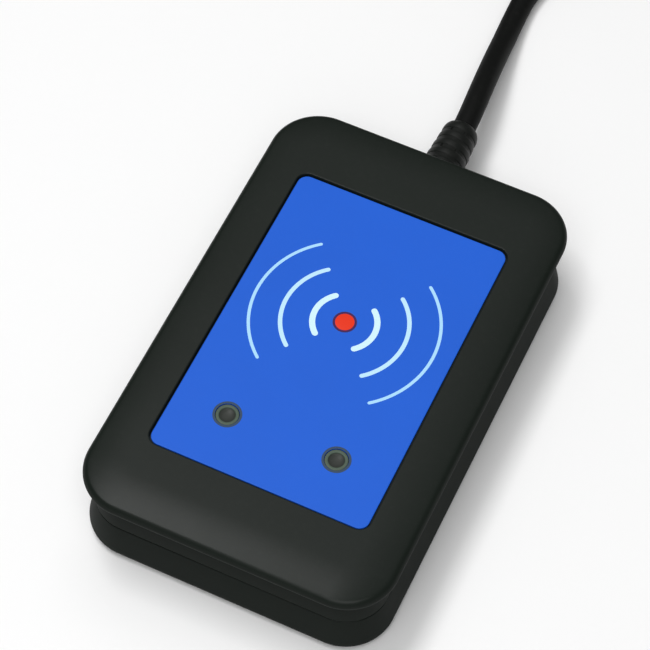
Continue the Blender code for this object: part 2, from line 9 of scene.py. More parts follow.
import bmesh
import bpy
from bpy.props import FloatProperty, FloatVectorProperty, IntProperty, PointerProperty
from mathutils import Matrix, Vector


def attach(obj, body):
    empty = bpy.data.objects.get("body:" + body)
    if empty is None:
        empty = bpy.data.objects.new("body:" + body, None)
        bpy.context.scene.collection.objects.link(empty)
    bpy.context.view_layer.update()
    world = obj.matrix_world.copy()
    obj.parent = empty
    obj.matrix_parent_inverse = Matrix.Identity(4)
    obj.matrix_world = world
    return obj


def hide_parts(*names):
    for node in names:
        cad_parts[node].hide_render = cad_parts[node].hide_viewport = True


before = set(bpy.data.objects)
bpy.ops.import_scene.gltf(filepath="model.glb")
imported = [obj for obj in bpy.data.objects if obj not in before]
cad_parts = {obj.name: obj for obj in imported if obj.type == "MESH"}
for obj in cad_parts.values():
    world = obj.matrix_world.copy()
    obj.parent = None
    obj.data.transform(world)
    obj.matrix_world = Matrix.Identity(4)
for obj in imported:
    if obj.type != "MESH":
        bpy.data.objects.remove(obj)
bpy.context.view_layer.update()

bl_info = {
    "name": "Card reader",
    "version": (1, 0, 0),
    "blender": (4, 5, 0),
    "location": "3D View > Sidebar > Card reader",
    "description": "Builds a desktop contactless card reader with its wound USB lead",
    "category": "Object",
}

MM = 0.001

# Housing
WIDTH = 56.0 * MM
LENGTH = 88.0 * MM
HEIGHT = 18.0 * MM
CORNER_RADIUS = 9.0 * MM
WALL = 1.8 * MM
UNDERSIDE_Z = 0.6 * MM
FLOOR_Z = 2.4 * MM
PARTING_Z = 8.3 * MM
PARTING_GAP = 0.3 * MM
PARTING_INSET = 1.55 * MM
CREASE_Z = 11.7 * MM
LIP_HEIGHT = 1.05 * MM
CEILING_Z = 15.6 * MM
FLAT_INSET = 7.5 * MM
CASE_SCREW_X = 20.2 * MM
CASE_SCREW_Y = 36.2 * MM
BOARD_SCREW_X = 14.0 * MM
BOARD_SCREW_Y = 25.0 * MM
FOOT_X = 19.0 * MM
FOOT_Y = 27.0 * MM

# Front label and its windows
LABEL_WIDTH = 39.5 * MM
LABEL_LENGTH = 59.8 * MM
LABEL_RADIUS = 1.8 * MM
LABEL_TOP_Z = 17.6 * MM
LABEL_THICKNESS = 0.4 * MM
RECESS_MARGIN = 0.28 * MM
LABEL_OUTLINE = (LABEL_WIDTH / 2, LABEL_LENGTH / 2, LABEL_RADIUS)
RECESS_OUTLINE = tuple(size + RECESS_MARGIN for size in LABEL_OUTLINE)
RECESS_FLOOR_Z = LABEL_TOP_Z - LABEL_THICKNESS - 0.05 * MM
WINDOW_X = 10.0 * MM
WINDOW_Y = -19.8 * MM
WINDOWS = ((-WINDOW_X, WINDOW_Y), (WINDOW_X, WINDOW_Y))
DOT_Y = 5.06 * MM
# Name, radius, width and half the sweep in degrees of each pair of printed arcs
ARCS = (
    ("inner", 5.55 * MM, 1.05 * MM, 49.0),
    ("middle", 11.0 * MM, 0.76 * MM, 50.3),
    ("outer", 16.4 * MM, 0.56 * MM, 50.8),
)
INK_THICKNESS = 0.02 * MM

# Cable, its coil and its plug
CABLE_DIAMETER = 4.4 * MM
CABLE_AXIS_Z = 9.2 * MM
CABLE_OPENING_RADIUS = 3.3 * MM
CABLE_IN_SLEEVE = Vector((0.0, 2.2, 0.0)) * MM
COIL_CENTRE = Vector((-22.0, 136.0, 0.0)) * MM
COIL_OUTER_SLOT = 35.3 * MM
COIL_COLUMNS = 6
ENTRY_ANGLE = math.radians(-45.0)
LEAD_OUT_ANGLE = math.radians(104.0)
TURN_POINTS = 24
JOG_SHARE = 0.24
FIRST_LAYER_Z = 2.25 * MM
TIE_ANGLE = math.radians(10.0)
TIE_THICKNESS = 0.8 * MM
TIE_WIDTH = 5.0 * MM
TIE_TOP_Z = 9.75 * MM
# The lowest turns rise over the strap: how far, and the angles of the flat and of each ramp
TIE_LIFT = 0.75 * MM
LIFT_FLAT = math.radians(4.0)
LIFT_RAMP = math.radians(34.0)
PLUG_HEADING = math.radians(284.0)
PLUG_OFFSET = 16.0 * MM
PLUG_AXIS_Z = 13.1 * MM
PLUG_REAR = -8.0 * MM
PLUG_BODY = Vector((16.0, 25.0, 8.0)) * MM
PLUG_SHELL = Vector((12.0, 12.0, 4.5)) * MM
SHELL_REAR = PLUG_REAR + PLUG_BODY.y + 0.3 * MM
LEAD_RUN_UP = 18.0 * MM
LEAD_CIRCLE = 16.0 * MM
LEAD_STRAIGHT = 3.3 * MM
LEAD_LENGTH = LEAD_CIRCLE * math.pi / 2 + LEAD_STRAIGHT
LINE_SPACING = 1.6 * MM

# Where the cable lies between its strain relief and the coil
CABLE_ROUTE = [Vector(point) * MM for point in (
    (0.0, 57.1, 9.2), (-0.2, 61.0, 9.1), (-0.7, 66.0, 8.5), (-1.4, 72.0, 7.1),
    (-2.1, 78.0, 5.3), (-2.7, 84.0, 3.6), (-3.2, 90.0, 2.6), (-3.3, 96.0, 2.3),
    (-2.3, 101.4, 2.25), (-0.1, 106.6, 2.25),
)]

# Strain relief
SLEEVE_STEPS = 64
# Where each slotted band starts along the sleeve, in millimetres, and its webs' turn in degrees
SLOT_BANDS = ((45.25, 90.0), (47.4, 0.0), (49.55, 90.0), (51.7, 0.0), (53.85, 90.0))
SLOT_PITCH = 2.15
SLOT_WIDTH = 0.72
SLOT_OPEN_RADIUS = 2.5 * MM
SLOT_DEPTH = 1.0 * MM
WEB_HALF = math.radians(22.0)

# Camera and lights
CAMERA_AZIMUTH = math.radians(23.73192)
CAMERA_ELEVATION = math.radians(57.86386)
CAMERA_ROLL = math.radians(1.56983)
CAMERA_DISTANCE = 443.431 * MM
CAMERA_TARGET = Vector((0.0, 0.0, 9.0)) * MM
CAMERA_SHIFT = (1.09269 * MM, -7.94273 * MM)
CAMERA_LENS = 142.93
SENSOR_WIDTH = 36.0
CLIP_RANGE = (0.01, 20.0)
# Name, place, size, and share of the key light's power; each light aims at the origin
LIGHTS = (
    ("key", (-0.29, 0.05, 0.95), (0.46, 0.22), 1.0),
    ("rear", (-0.20, 0.46, 0.86), (0.60, 0.60), 0.36),
    ("top", (0.10, -0.38, 0.92), (0.60, 0.60), 1.15),
    ("front", (0.25, -0.85, 0.75), (0.80, 0.50), 0.25),
)
FLOOR_HALF = 2.0

WELD = 0.001 * MM
# The angle in degrees between two faces from which their edge is sharp
COVER_SHARP = 32.0
PRINT_SHARP = 50.0
RUBBER_SHARP = 40.0
METAL_SHARP = 30.0
CORNERS = ("front_left", "front_right", "rear_left", "rear_right")
# From the axis of a turned shape, +Z, to the way that the cable and the plug point, +Y
LAID_DOWN = Matrix.Rotation(-math.pi / 2, 4, "X")


# ---- settings

class HousingSettings(bpy.types.PropertyGroup):
    """Sizes and colours of the two covers"""

    plastic: FloatVectorProperty(
        name="Plastic", description="Colour of the moulded covers",
        default=(0.0088, 0.0120, 0.0096), subtype="COLOR", min=0.0, max=1.0)
    corner_segments: IntProperty(
        name="Corner segments", description="Facets in each quarter turn of the outline",
        default=24, min=6, max=48)
    grain: FloatProperty(
        name="Grain", description="Width of one bump of the sparked surface",
        default=0.00022, min=0.00005, max=0.002, unit="LENGTH")


class LabelSettings(bpy.types.PropertyGroup):
    """Colours of the front label and its print"""

    film: FloatVectorProperty(
        name="Film", description="Colour of the label film",
        default=(0.0145, 0.112, 0.620), subtype="COLOR", min=0.0, max=1.0)
    print_near: FloatVectorProperty(
        name="Inner print", description="Colour of the printed arcs beside the dot",
        default=(0.62, 0.86, 0.99), subtype="COLOR", min=0.0, max=1.0)
    print_far: FloatVectorProperty(
        name="Outer print", description="Colour of the printed arcs farthest from the dot",
        default=(0.40, 0.70, 0.99), subtype="COLOR", min=0.0, max=1.0)
    dot: FloatVectorProperty(
        name="Dot", description="Colour of the dot in the middle of the arcs",
        default=(0.77, 0.037, 0.011), subtype="COLOR", min=0.0, max=1.0)


class CableSettings(bpy.types.PropertyGroup):
    """The lead, from the strain relief to the plug"""

    length: FloatProperty(
        name="Length", description="Real length of the lead from the strain relief to the plug",
        default=1.8, min=0.5, max=3.0, unit="LENGTH")
    jacket: FloatVectorProperty(
        name="Jacket", description="Colour of the cable's jacket",
        default=(0.0042, 0.0046, 0.0043), subtype="COLOR", min=0.0, max=1.0)


class StageSettings(bpy.types.PropertyGroup):
    """Floor, lights and camera"""

    key_power: FloatProperty(
        name="Key light", description="Power of the large light overhead",
        default=4.0, min=0.0, max=500.0, unit="POWER")
    fill_strength: FloatProperty(
        name="Fill", description="Strength of the even light from all round",
        default=0.14, min=0.0, max=5.0)
    floor: FloatVectorProperty(
        name="Floor", description="Colour of the floor",
        default=(0.93, 0.93, 0.93), subtype="COLOR", min=0.0, max=1.0)


# ---- mesh helpers

def show(name, data):
    """A new object at the origin, in the scene."""
    obj = bpy.data.objects.new(name, data)
    bpy.context.scene.collection.objects.link(obj)
    return obj


def sharpen(mesh, sharp):
    mesh.shade_smooth()
    mesh.set_sharp_from_angle(angle=math.radians(sharp))


def finish_mesh(name, bm, material, sharp=COVER_SHARP, recalculate=True):
    """Closes a bmesh into a shown mesh object that sits at the origin."""
    if recalculate:
        bmesh.ops.recalc_face_normals(bm, faces=bm.faces)
    mesh = bpy.data.meshes.new(name)
    bm.to_mesh(mesh)
    bm.free()
    sharpen(mesh, sharp)
    mesh.materials.append(material)
    return show(name, mesh)


def settle(obj, slot=None, *nodes):
    """Makes a piece ride on the reader, standing for its CAD nodes, which it hides; the slot it is
    given is not used.
    """
    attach(obj, "root")
    if nodes:
        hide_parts(*nodes)


def dress(material, *nodes):
    """Gives CAD parts whose shape stays a finished material."""
    for name in nodes:
        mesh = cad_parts[name].data
        mesh.materials.clear()
        mesh.materials.append(material)


def in_mm(points):
    """Points that are given in millimetres, in metres."""
    return [tuple(value * MM for value in point) for point in points]


def points_of(made):
    """The vertices among what an operator made."""
    return [item for item in made if isinstance(item, bmesh.types.BMVert)]


def move(bm, verts, matrix):
    bmesh.ops.transform(bm, matrix=matrix, verts=verts)


def block(bm, centre, size, radius=0.0, segments=3, upright_only=False):
    """A box round its centre with its edges, or only its upright ones, rounded."""
    made = bmesh.ops.create_cube(bm, size=1.0)["verts"]
    bmesh.ops.scale(bm, vec=size, verts=made)
    bmesh.ops.translate(bm, vec=centre, verts=made)
    if radius > 0.0:
        edges = list({edge for vert in made for edge in vert.link_edges})
        if upright_only:
            edges = [e for e in edges if abs(e.verts[0].co.z - e.verts[1].co.z) > 0.5 * size[2]]
        bmesh.ops.bevel(
            bm, geom=edges, offset=radius, offset_type="OFFSET", segments=segments,
            profile=0.5, affect="EDGES", material=-1, clamp_overlap=True)


def cylinder(bm, x, y, z_low, z_high, radius, segments):
    bmesh.ops.create_cone(
        bm, cap_ends=True, segments=segments, radius1=radius, radius2=radius,
        depth=z_high - z_low, matrix=Matrix.Translation((x, y, (z_low + z_high) / 2)))


def turned(bm, profile, steps, place=None):
    """Spins (radius, height) points about Z into a closed body. Points on the axis close it."""
    before = set(bm.verts)
    verts = [bm.verts.new((radius, 0.0, height)) for radius, height in profile]
    edges = [bm.edges.new(pair) for pair in zip(verts, verts[1:])]
    bmesh.ops.spin(
        bm, geom=verts + edges, cent=(0, 0, 0), axis=(0, 0, 1), angle=math.tau,
        steps=steps, use_merge=True)
    bmesh.ops.remove_doubles(bm, verts=[v for v in bm.verts if v not in before], dist=WELD)
    if place is not None:
        move(bm, [v for v in bm.verts if v not in before], place)


def turned_piece(name, profile, steps, place, material, sharp):
    """A finished piece of one turned body."""
    bm = bmesh.new()
    turned(bm, profile, steps, place)
    return finish_mesh(name, bm, material, sharp)


def round_rectangle(bm, outline, height, segments, fill):
    """The edges of a rectangle with round corners: half width, half length, corner radius."""
    half_x, half_y, radius = outline
    before = set(bm.verts)
    made = bmesh.ops.create_grid(bm, x_segments=1, y_segments=1, size=0.5)["verts"]
    bmesh.ops.scale(bm, vec=(2 * half_x, 2 * half_y, 1.0), verts=made)
    bmesh.ops.bevel(
        bm, geom=made, offset=radius, offset_type="OFFSET", segments=segments,
        profile=0.5, affect="VERTICES", material=-1)
    ring = [vert for vert in bm.verts if vert not in before]
    place_ring(ring, outline, outline, height)
    edges = list({edge for vert in ring for edge in vert.link_edges})
    if not fill:
        faces = list({face for vert in ring for face in vert.link_faces})
        bmesh.ops.delete(bm, geom=faces, context="FACES_ONLY")
    return edges


def place_ring(verts, old, new, height):
    """Moves the points of one round rectangle on to another, corner by corner."""
    for vert in verts:
        side = Vector((math.copysign(1.0, vert.co.x), math.copysign(1.0, vert.co.y)))
        corner = Vector((side.x * (old[0] - old[2]), side.y * (old[1] - old[2])))
        outward = (vert.co.xy - corner).normalized()
        target = Vector((side.x * (new[0] - new[2]), side.y * (new[1] - new[2])))
        vert.co.xy = target + outward * new[2]
        vert.co.z = height


def draw_out(bm, ring, old, stations):
    """Extrudes a ring from one (outline, height) to the next, and returns the last ring."""
    for outline, height in stations:
        made = bmesh.ops.extrude_edge_only(bm, edges=ring)["geom"]
        verts = points_of(made)
        ring = [e for e in made if isinstance(e, bmesh.types.BMEdge)
                and e.verts[0] in verts and e.verts[1] in verts and len(e.link_faces) == 1]
        place_ring(verts, old, outline, height)
        old = outline
    return ring


def drawn(bm, outline, height, stations, segments, hollow=False):
    """A body drawn from an outline through stations, with a face at each end or hollow."""
    ring = round_rectangle(bm, outline, height, segments, fill=not hollow)
    last = draw_out(bm, ring, outline, stations)
    if hollow:
        bmesh.ops.bridge_loops(bm, edges=ring + last)
    else:
        bmesh.ops.contextual_create(bm, geom=last)


def arc(centre, radius, start, end, steps):
    """Points of an arc as (inset, height); the angle is the outward tilt upwards, in degrees."""
    points = []
    for step in range(steps + 1):
        angle = math.radians(start + (end - start) * step / steps)
        points.append((centre[0] - radius * math.cos(angle), centre[1] + radius * math.sin(angle)))
    return points


def grown(outline, margin):
    return tuple(size + margin for size in outline)


def housing_outline(inset):
    return WIDTH / 2 - inset, LENGTH / 2 - inset, CORNER_RADIUS - inset


def carve(obj, *tools, sharp=COVER_SHARP):
    """Joins and cuts a piece with plain solids, each (bmesh, operation), and sharpens it again."""
    for bm, operation in tools:
        bmesh.ops.recalc_face_normals(bm, faces=bm.faces)
        tool_mesh = bpy.data.meshes.new("tool")
        bm.to_mesh(tool_mesh)
        bm.free()
        tool = show("tool", tool_mesh)
        modifier = obj.modifiers.new("carve", "BOOLEAN")
        modifier.operation = operation
        modifier.object = tool
        modifier.solver = "EXACT"
        bpy.context.view_layer.update()
        graph = bpy.context.evaluated_depsgraph_get()
        done = bpy.data.meshes.new_from_object(obj.evaluated_get(graph))
        obj.modifiers.clear()
        old = obj.data
        obj.data = done
        bpy.data.meshes.remove(old)
        bpy.data.objects.remove(tool)
        bpy.data.meshes.remove(tool_mesh)
    sharpen(obj.data, sharp)


# ---- material helpers

def new_group(name, inputs, outputs):
    """An empty shader node group with (kind, name, default) inputs and (kind, name) outputs."""
    group = bpy.data.node_groups.new(name, "ShaderNodeTree")
    for kind, label, default in inputs:
        made = group.interface.new_socket(
            name=label, in_out="INPUT", socket_type=f"NodeSocket{kind}")
        if default is not None:
            made.default_value = default
    for kind, label in outputs:
        group.interface.new_socket(name=label, in_out="OUTPUT", socket_type=f"NodeSocket{kind}")
    return group, group.nodes.new("NodeGroupInput"), group.nodes.new("NodeGroupOutput")


def add_node(tree, kind, inputs, **settings):
    """A node with its settings made, and its inputs linked to a socket or set to a value."""
    node = tree.nodes.new(kind)
    for name, value in settings.items():
        setattr(node, name, value)
    for label, value in inputs.items():
        if isinstance(value, bpy.types.NodeSocket):
            tree.links.new(value, node.inputs[label])
        else:
            node.inputs[label].default_value = value
    return node


def math_node(tree, operation, first, second):
    node = add_node(tree, "ShaderNodeMath", {0: first, 1: second}, operation=operation)
    return node.outputs[0]


def noise(tree, position, scale, detail, roughness):
    return add_node(tree, "ShaderNodeTexNoise", {
        "Vector": position, "Scale": scale, "Detail": detail, "Roughness": roughness,
    }).outputs["Fac"]


def height_of(tree, vector):
    """How far a direction or a place points upwards."""
    return add_node(tree, "ShaderNodeSeparateXYZ", {0: vector}).outputs["Z"]


def surface_group():
    """Moulded or printed surface: fine grain, faint unevenness of tone and patches of gloss."""
    found = bpy.data.node_groups.get("fine_surface")
    if found is not None:
        return found
    group, start, end = new_group(
        "fine_surface",
        [("Vector", "Position", None), ("Color", "Colour", (0.5, 0.5, 0.5, 1.0)),
         ("Float", "Grains per Metre", 4000.0), ("Float", "Tone Spread", 0.1),
         ("Float", "Roughness", 0.45), ("Float", "Roughness Spread", 0.08)],
        [("Color", "Colour"), ("Float", "Roughness"), ("Float", "Height")])
    given = start.outputs
    grains = noise(group, given["Position"], given["Grains per Metre"], 3.0, 0.55)
    patches = noise(group, given["Position"], 55.0, 3.0, 0.6)
    drift = math_node(group, "SUBTRACT", patches, 0.5)
    tone = math_node(group, "ADD", math_node(group, "SUBTRACT", grains, 0.5), drift)
    tone = math_node(group, "MULTIPLY", tone, given["Tone Spread"])
    tone = math_node(group, "ADD", tone, 1.0)
    shaded = add_node(
        group, "ShaderNodeVectorMath", {0: given["Colour"], "Scale": tone}, operation="SCALE")
    gloss = math_node(group, "MULTIPLY", drift, given["Roughness Spread"])
    gloss = math_node(group, "ADD", gloss, given["Roughness"])
    group.links.new(shaded.outputs["Vector"], end.inputs["Colour"])
    group.links.new(gloss, end.inputs["Roughness"])
    group.links.new(grains, end.inputs["Height"])
    return group


def dust_group():
    """Settled dust: pale specks that lie only on what faces up."""
    found = bpy.data.node_groups.get("settled_dust")
    if found is not None:
        return found
    group, start, end = new_group(
        "settled_dust",
        [("Vector", "Position", None), ("Vector", "Facing", None),
         ("Color", "Colour", (0.5, 0.5, 0.5, 1.0)), ("Color", "Dust", (0.35, 0.34, 0.32, 1.0)),
         ("Float", "Amount", 0.05)],
        [("Color", "Colour")])
    given = start.outputs
    upward = math_node(group, "MAXIMUM", height_of(group, given["Facing"]), 0.0)
    specks = math_node(group, "SUBTRACT", noise(group, given["Position"], 900.0, 4.0, 0.7), 0.52)
    specks = math_node(group, "MAXIMUM", math_node(group, "MULTIPLY", specks, 5.0), 0.0)
    mask = math_node(group, "MULTIPLY", specks, upward)
    mask = math_node(group, "MULTIPLY", mask, given["Amount"])
    mask = math_node(group, "MINIMUM", mask, 1.0)
    # A Mix node's colour sockets are 6 and 7, and its colour output is 2
    mix = add_node(
        group, "ShaderNodeMix", {"Factor": mask, 6: given["Colour"], 7: given["Dust"]},
        data_type="RGBA")
    group.links.new(mix.outputs[2], end.inputs["Colour"])
    return group


def made_before(name):
    """The finished material of this name, apart from the plain ones that come with the frame."""
    return bpy.data.materials.get(f"{name}_finish")


def base_material(name, **sockets):
    """A new material with its shader, and constants set on the shader's own sockets."""
    material = bpy.data.materials.new(f"{name}_finish")
    material.use_nodes = True
    tree = material.node_tree
    shader = tree.nodes["Principled BSDF"]
    for label, value in sockets.items():
        shader.inputs[label.replace("_", " ").title().replace("Ior", "IOR")].default_value = value
    return material, tree, shader, tree.nodes.new("ShaderNodeTexCoord").outputs["Object"]


def fine_surface(tree, position, colour, roughness, grains=4000.0, tone=0.1, spread=0.08):
    """The outputs of the shared surface, set up for one material."""
    return add_node(tree, "ShaderNodeGroup", {
        "Position": position, "Colour": colour, "Grains per Metre": grains, "Tone Spread": tone,
        "Roughness": roughness, "Roughness Spread": spread,
    }, node_tree=surface_group()).outputs


def feed_shader(tree, shader, colour, gloss, height, strength, depth):
    """Links the shader's colour, roughness and bumps."""
    bumps = add_node(
        tree, "ShaderNodeBump", {"Strength": strength, "Distance": depth, "Height": height})
    tree.links.new(colour, shader.inputs["Base Color"])
    tree.links.new(gloss, shader.inputs["Roughness"])
    tree.links.new(bumps.outputs["Normal"], shader.inputs["Normal"])


def rougher_sides(tree, facing, roughness, extra):
    """The roughness with more added where the surface stands upright or faces down."""
    added = add_node(tree, "ShaderNodeMapRange", {
        "Value": height_of(tree, facing), "From Min": 0.35, "From Max": 0.85,
        "To Min": extra, "To Max": 0.0})
    return math_node(tree, "ADD", roughness, added.outputs["Result"])


def fine_material(name, colour, roughness, grains=4000.0, tone=0.1, spread=0.08,
                  depth=0.00002, strength=0.25, dust=0.0, side_texture=0.0, **sockets):
    """A material on the shared surface, with dust on top or coarser sides where asked for."""
    found = made_before(name)
    if found is not None:
        return found
    material, tree, shader, position = base_material(name, **sockets)
    surface = fine_surface(tree, position, (*colour, 1.0), roughness, grains, tone, spread)
    shown, gloss = surface["Colour"], surface["Roughness"]
    facing = tree.nodes.new("ShaderNodeNewGeometry").outputs["Normal"]
    if side_texture > 0.0:
        gloss = rougher_sides(tree, facing, gloss, side_texture)
    if dust > 0.0:
        shown = add_node(tree, "ShaderNodeGroup", {
            "Position": position, "Facing": facing, "Colour": shown, "Amount": dust,
        }, node_tree=dust_group()).outputs["Colour"]
    feed_shader(tree, shader, shown, gloss, surface["Height"], strength, depth)
    return material


def housing_plastic():
    settings = bpy.context.scene.reader_housing
    return fine_material(
        "housing_plastic", settings.plastic, 0.31, grains=1.0 / settings.grain, tone=0.30,
        spread=0.08, depth=0.00002, strength=0.25, dust=0.006, side_texture=0.34,
        specular_ior_level=0.11)


def label_film():
    settings = bpy.context.scene.reader_label
    return fine_material(
        "label_film", settings.film, 0.40, grains=7000.0, tone=0.10, spread=0.06,
        depth=0.00001, strength=0.2, dust=0.006, specular_ior_level=0.10)


def print_ink(name, colour, roughness=0.40):
    return fine_material(
        name, colour, roughness, grains=9000.0, tone=0.06, spread=0.05, depth=0.00001,
        strength=0.15, specular_ior_level=0.10)


def soft_rubber(name, colour, roughness=0.55, specular=0.2):
    return fine_material(
        name, colour, roughness, grains=3500.0, tone=0.35, spread=0.12, depth=0.00003,
        strength=0.3, dust=0.01, specular_ior_level=specular)


def cable_jacket():
    settings = bpy.context.scene.reader_cable
    return fine_material(
        "cable_jacket", settings.jacket, 0.60, grains=2600.0, tone=0.30, spread=0.14,
        depth=0.00003, strength=0.25, dust=0.01, specular_ior_level=0.10)


def window_glass_painted_shade():
    """Tinted clear plastic over an unlit lamp, made opaque: its dark colour is the tint plus painted
    shade for the dark inside seen through it.
    """
    return fine_material(
        "window_glass_painted_shade", (0.034, 0.038, 0.034), 0.34, grains=3000.0, tone=0.15, spread=0.08,
        depth=0.00001, strength=0.1, specular_ior_level=0.12)


def bezel_painted_highlight():
    # Grey-green plastic painted lighter than its own colour: a painted highlight for the light that
    # the ring's polished bevel catches
    return fine_material(
        "bezel_painted_highlight", (0.075, 0.105, 0.080), 0.42, grains=5000.0, tone=0.25, spread=0.1,
        depth=0.00002, strength=0.2, specular_ior_level=0.12)


def plug_plastic():
    return fine_material(
        "plug_plastic", (0.0085, 0.0087, 0.0090), 0.45, grains=3800.0, tone=0.3, spread=0.1,
        depth=0.00003, strength=0.3, dust=0.01, specular_ior_level=0.35)


def plated_metal(name, colour, roughness):
    """Plated metal with faint brush lines along one way and a cloudy gloss."""
    found = made_before(name)
    if found is not None:
        return found
    material, tree, shader, position = base_material(name, metallic=1.0)
    brushed = add_node(
        tree, "ShaderNodeMapping", {"Vector": position, "Scale": (1.0, 14.0, 14.0)})
    surface = fine_surface(
        tree, brushed.outputs["Vector"], (*colour, 1.0), roughness, 900.0, 0.12, 0.16)
    feed_shader(tree, shader, surface["Colour"], surface["Roughness"], surface["Height"],
                0.08, 0.00001)
    return material


def printed_board():
    """Green solder mask over faint copper tracks."""
    material, tree, shader, position = base_material("printed_board", ior=1.5)
    tracks = add_node(tree, "ShaderNodeTexBrick", {
        "Vector": position, "Scale": 260.0, "Mortar Size": 0.03,
        "Color1": (0.008, 0.085, 0.030, 1.0), "Color2": (0.010, 0.100, 0.036, 1.0),
        "Mortar": (0.030, 0.190, 0.070, 1.0)}).outputs
    surface = fine_surface(tree, position, tracks["Color"], 0.3, 1500.0)
    feed_shader(tree, shader, surface["Colour"], surface["Roughness"], tracks["Fac"],
                0.3, 0.00004)
    return material


def wound_copper():
    """Enamelled wire lying side by side: fine lines round the loop."""
    material, tree, shader, position = base_material("wound_copper", metallic=1.0)
    lines = add_node(
        tree, "ShaderNodeTexWave", {"Vector": position, "Scale": 1600.0, "Distortion": 0.6},
        bands_direction="Z")
    surface = fine_surface(tree, position, (0.60, 0.20, 0.07, 1.0), 0.3)
    feed_shader(tree, shader, surface["Colour"], surface["Roughness"], lines.outputs["Fac"],
                0.6, 0.00008)
    return material


# ---- stage

def camera_axes():
    """The camera's right, up and backward directions."""
    az, el = CAMERA_AZIMUTH, CAMERA_ELEVATION
    back = Vector((math.sin(az) * math.cos(el), -math.cos(az) * math.cos(el), math.sin(el)))
    right = Vector((math.cos(az), math.sin(az), 0.0))
    up = back.cross(right)
    cr, sr = math.cos(CAMERA_ROLL), math.sin(CAMERA_ROLL)
    return cr * right + sr * up, -sr * right + cr * up, back


def add_camera():
    right, up, back = camera_axes()
    data = bpy.data.cameras.new("camera")
    data.lens = CAMERA_LENS
    data.sensor_width = SENSOR_WIDTH
    data.clip_start, data.clip_end = CLIP_RANGE
    camera = show("camera", data)
    place = CAMERA_TARGET - CAMERA_SHIFT[0] * right - CAMERA_SHIFT[1] * up + CAMERA_DISTANCE * back
    turn = Matrix((right, up, back)).transposed()
    camera.matrix_world = Matrix.Translation(place) @ turn.to_4x4()
    bpy.context.scene.camera = camera


def add_light(name, place, size, power):
    """A soft lamp that aims at the origin."""
    data = bpy.data.lights.new(name, "AREA")
    data.shape = "RECTANGLE"
    data.size, data.size_y = size
    data.energy = power
    light = show(name, data)
    light.location = place
    light.rotation_euler = (-Vector(place)).to_track_quat("-Z", "Y").to_euler()


class READER_OT_stage(bpy.types.Operator):
    """Sets the camera, the soft lights and the pale floor"""

    bl_idname = "reader.stage"
    bl_label = "Stage"
    bl_options = {"REGISTER", "UNDO"}

    def execute(self, context):
        settings = context.scene.reader_stage
        add_camera()
        context.scene.view_settings.view_transform = "Standard"
        world = context.scene.world or bpy.data.worlds.new("world")
        context.scene.world = world
        world.use_nodes = True
        background = world.node_tree.nodes["Background"]
        background.inputs["Color"].default_value = (1.0, 1.0, 1.0, 1.0)
        background.inputs["Strength"].default_value = settings.fill_strength
        for name, place, size, share in LIGHTS:
            add_light(name, place, size, share * settings.key_power)
        bm = bmesh.new()
        bmesh.ops.create_grid(bm, x_segments=8, y_segments=8, size=FLOOR_HALF)
        paper = fine_material(
            "floor_paper", settings.floor, 0.75, grains=900.0, tone=0.01, spread=0.05,
            depth=0.00005, strength=0.05)
        floor = finish_mesh("floor", bm, paper, recalculate=False)
        return {"FINISHED"}


# ---- cable

def smooth_line(points, spacing):
    """Points about spacing apart on a smooth curve through the given points."""
    found = [points[0]]
    ends = [2 * points[0] - points[1], *points, 2 * points[-1] - points[-2]]
    for a, b, c, d in zip(ends, ends[1:], ends[2:], ends[3:]):
        count = max(1, round((c - b).length / spacing))
        for step in range(1, count + 1):
            t = step / count
            found.append(
                0.5 * ((2 * b) + (c - a) * t + (2 * a - 5 * b + 4 * c - d) * t ** 2
                       + (3 * b - a - 3 * c + d) * t ** 3))
    return found


def ease(t):
    t = min(max(t, 0.0), 1.0)
    return t * t * (3.0 - 2.0 * t)


def slot_radius(turn):
    """The radius of each turn: inwards across the first layer, outwards across the second."""
    column = turn if turn < COIL_COLUMNS else 2 * COIL_COLUMNS - 1 - turn
    return COIL_OUTER_SLOT - column * CABLE_DIAMETER


def on_coil(angle, radius, height):
    return COIL_CENTRE + Vector((radius * math.cos(angle), radius * math.sin(angle), height))


def lift_over_tie(angle):
    """How far the lowest layer rides up where it crosses the tie."""
    away = (angle - TIE_ANGLE + math.pi) % math.tau - math.pi
    return TIE_LIFT * (1.0 - ease((abs(away) - LIFT_FLAT) / LIFT_RAMP))


def coil_points():
    """The wound turns. Each lies in its slot, and steps to the next one at its end."""
    turns = 2 * COIL_COLUMNS - 1 + (LEAD_OUT_ANGLE - ENTRY_ANGLE) / math.tau
    count = round(turns * TURN_POINTS)
    points = []
    for step in range(count + 1):
        whole = turns * step / count
        turn = min(int(whole), 2 * COIL_COLUMNS - 1)
        jog = ease((whole - turn - (1.0 - JOG_SHARE)) / JOG_SHARE)
        following = slot_radius(min(turn + 1, 2 * COIL_COLUMNS - 1))
        radius = slot_radius(turn) + (following - slot_radius(turn)) * jog
        layer = 0.0 if turn < COIL_COLUMNS - 1 else 1.0
        if turn == COIL_COLUMNS - 1:
            layer = jog
        angle = ENTRY_ANGLE + whole * math.tau
        height = FIRST_LAYER_Z + layer * CABLE_DIAMETER + lift_over_tie(angle)
        to_end = (turns - whole) * math.tau * COIL_OUTER_SLOT
        height += lead_rise(-to_end) if to_end < LEAD_RUN_UP else 0.0
        points.append(on_coil(angle, radius, height))
    return points


def lead_rise(run):
    """How far the lead has risen from the upper layer, this far past the coil's last point."""
    total = PLUG_AXIS_Z - FIRST_LAYER_Z - CABLE_DIAMETER
    return total * ease((run + LEAD_RUN_UP) / (LEAD_LENGTH + LEAD_RUN_UP))


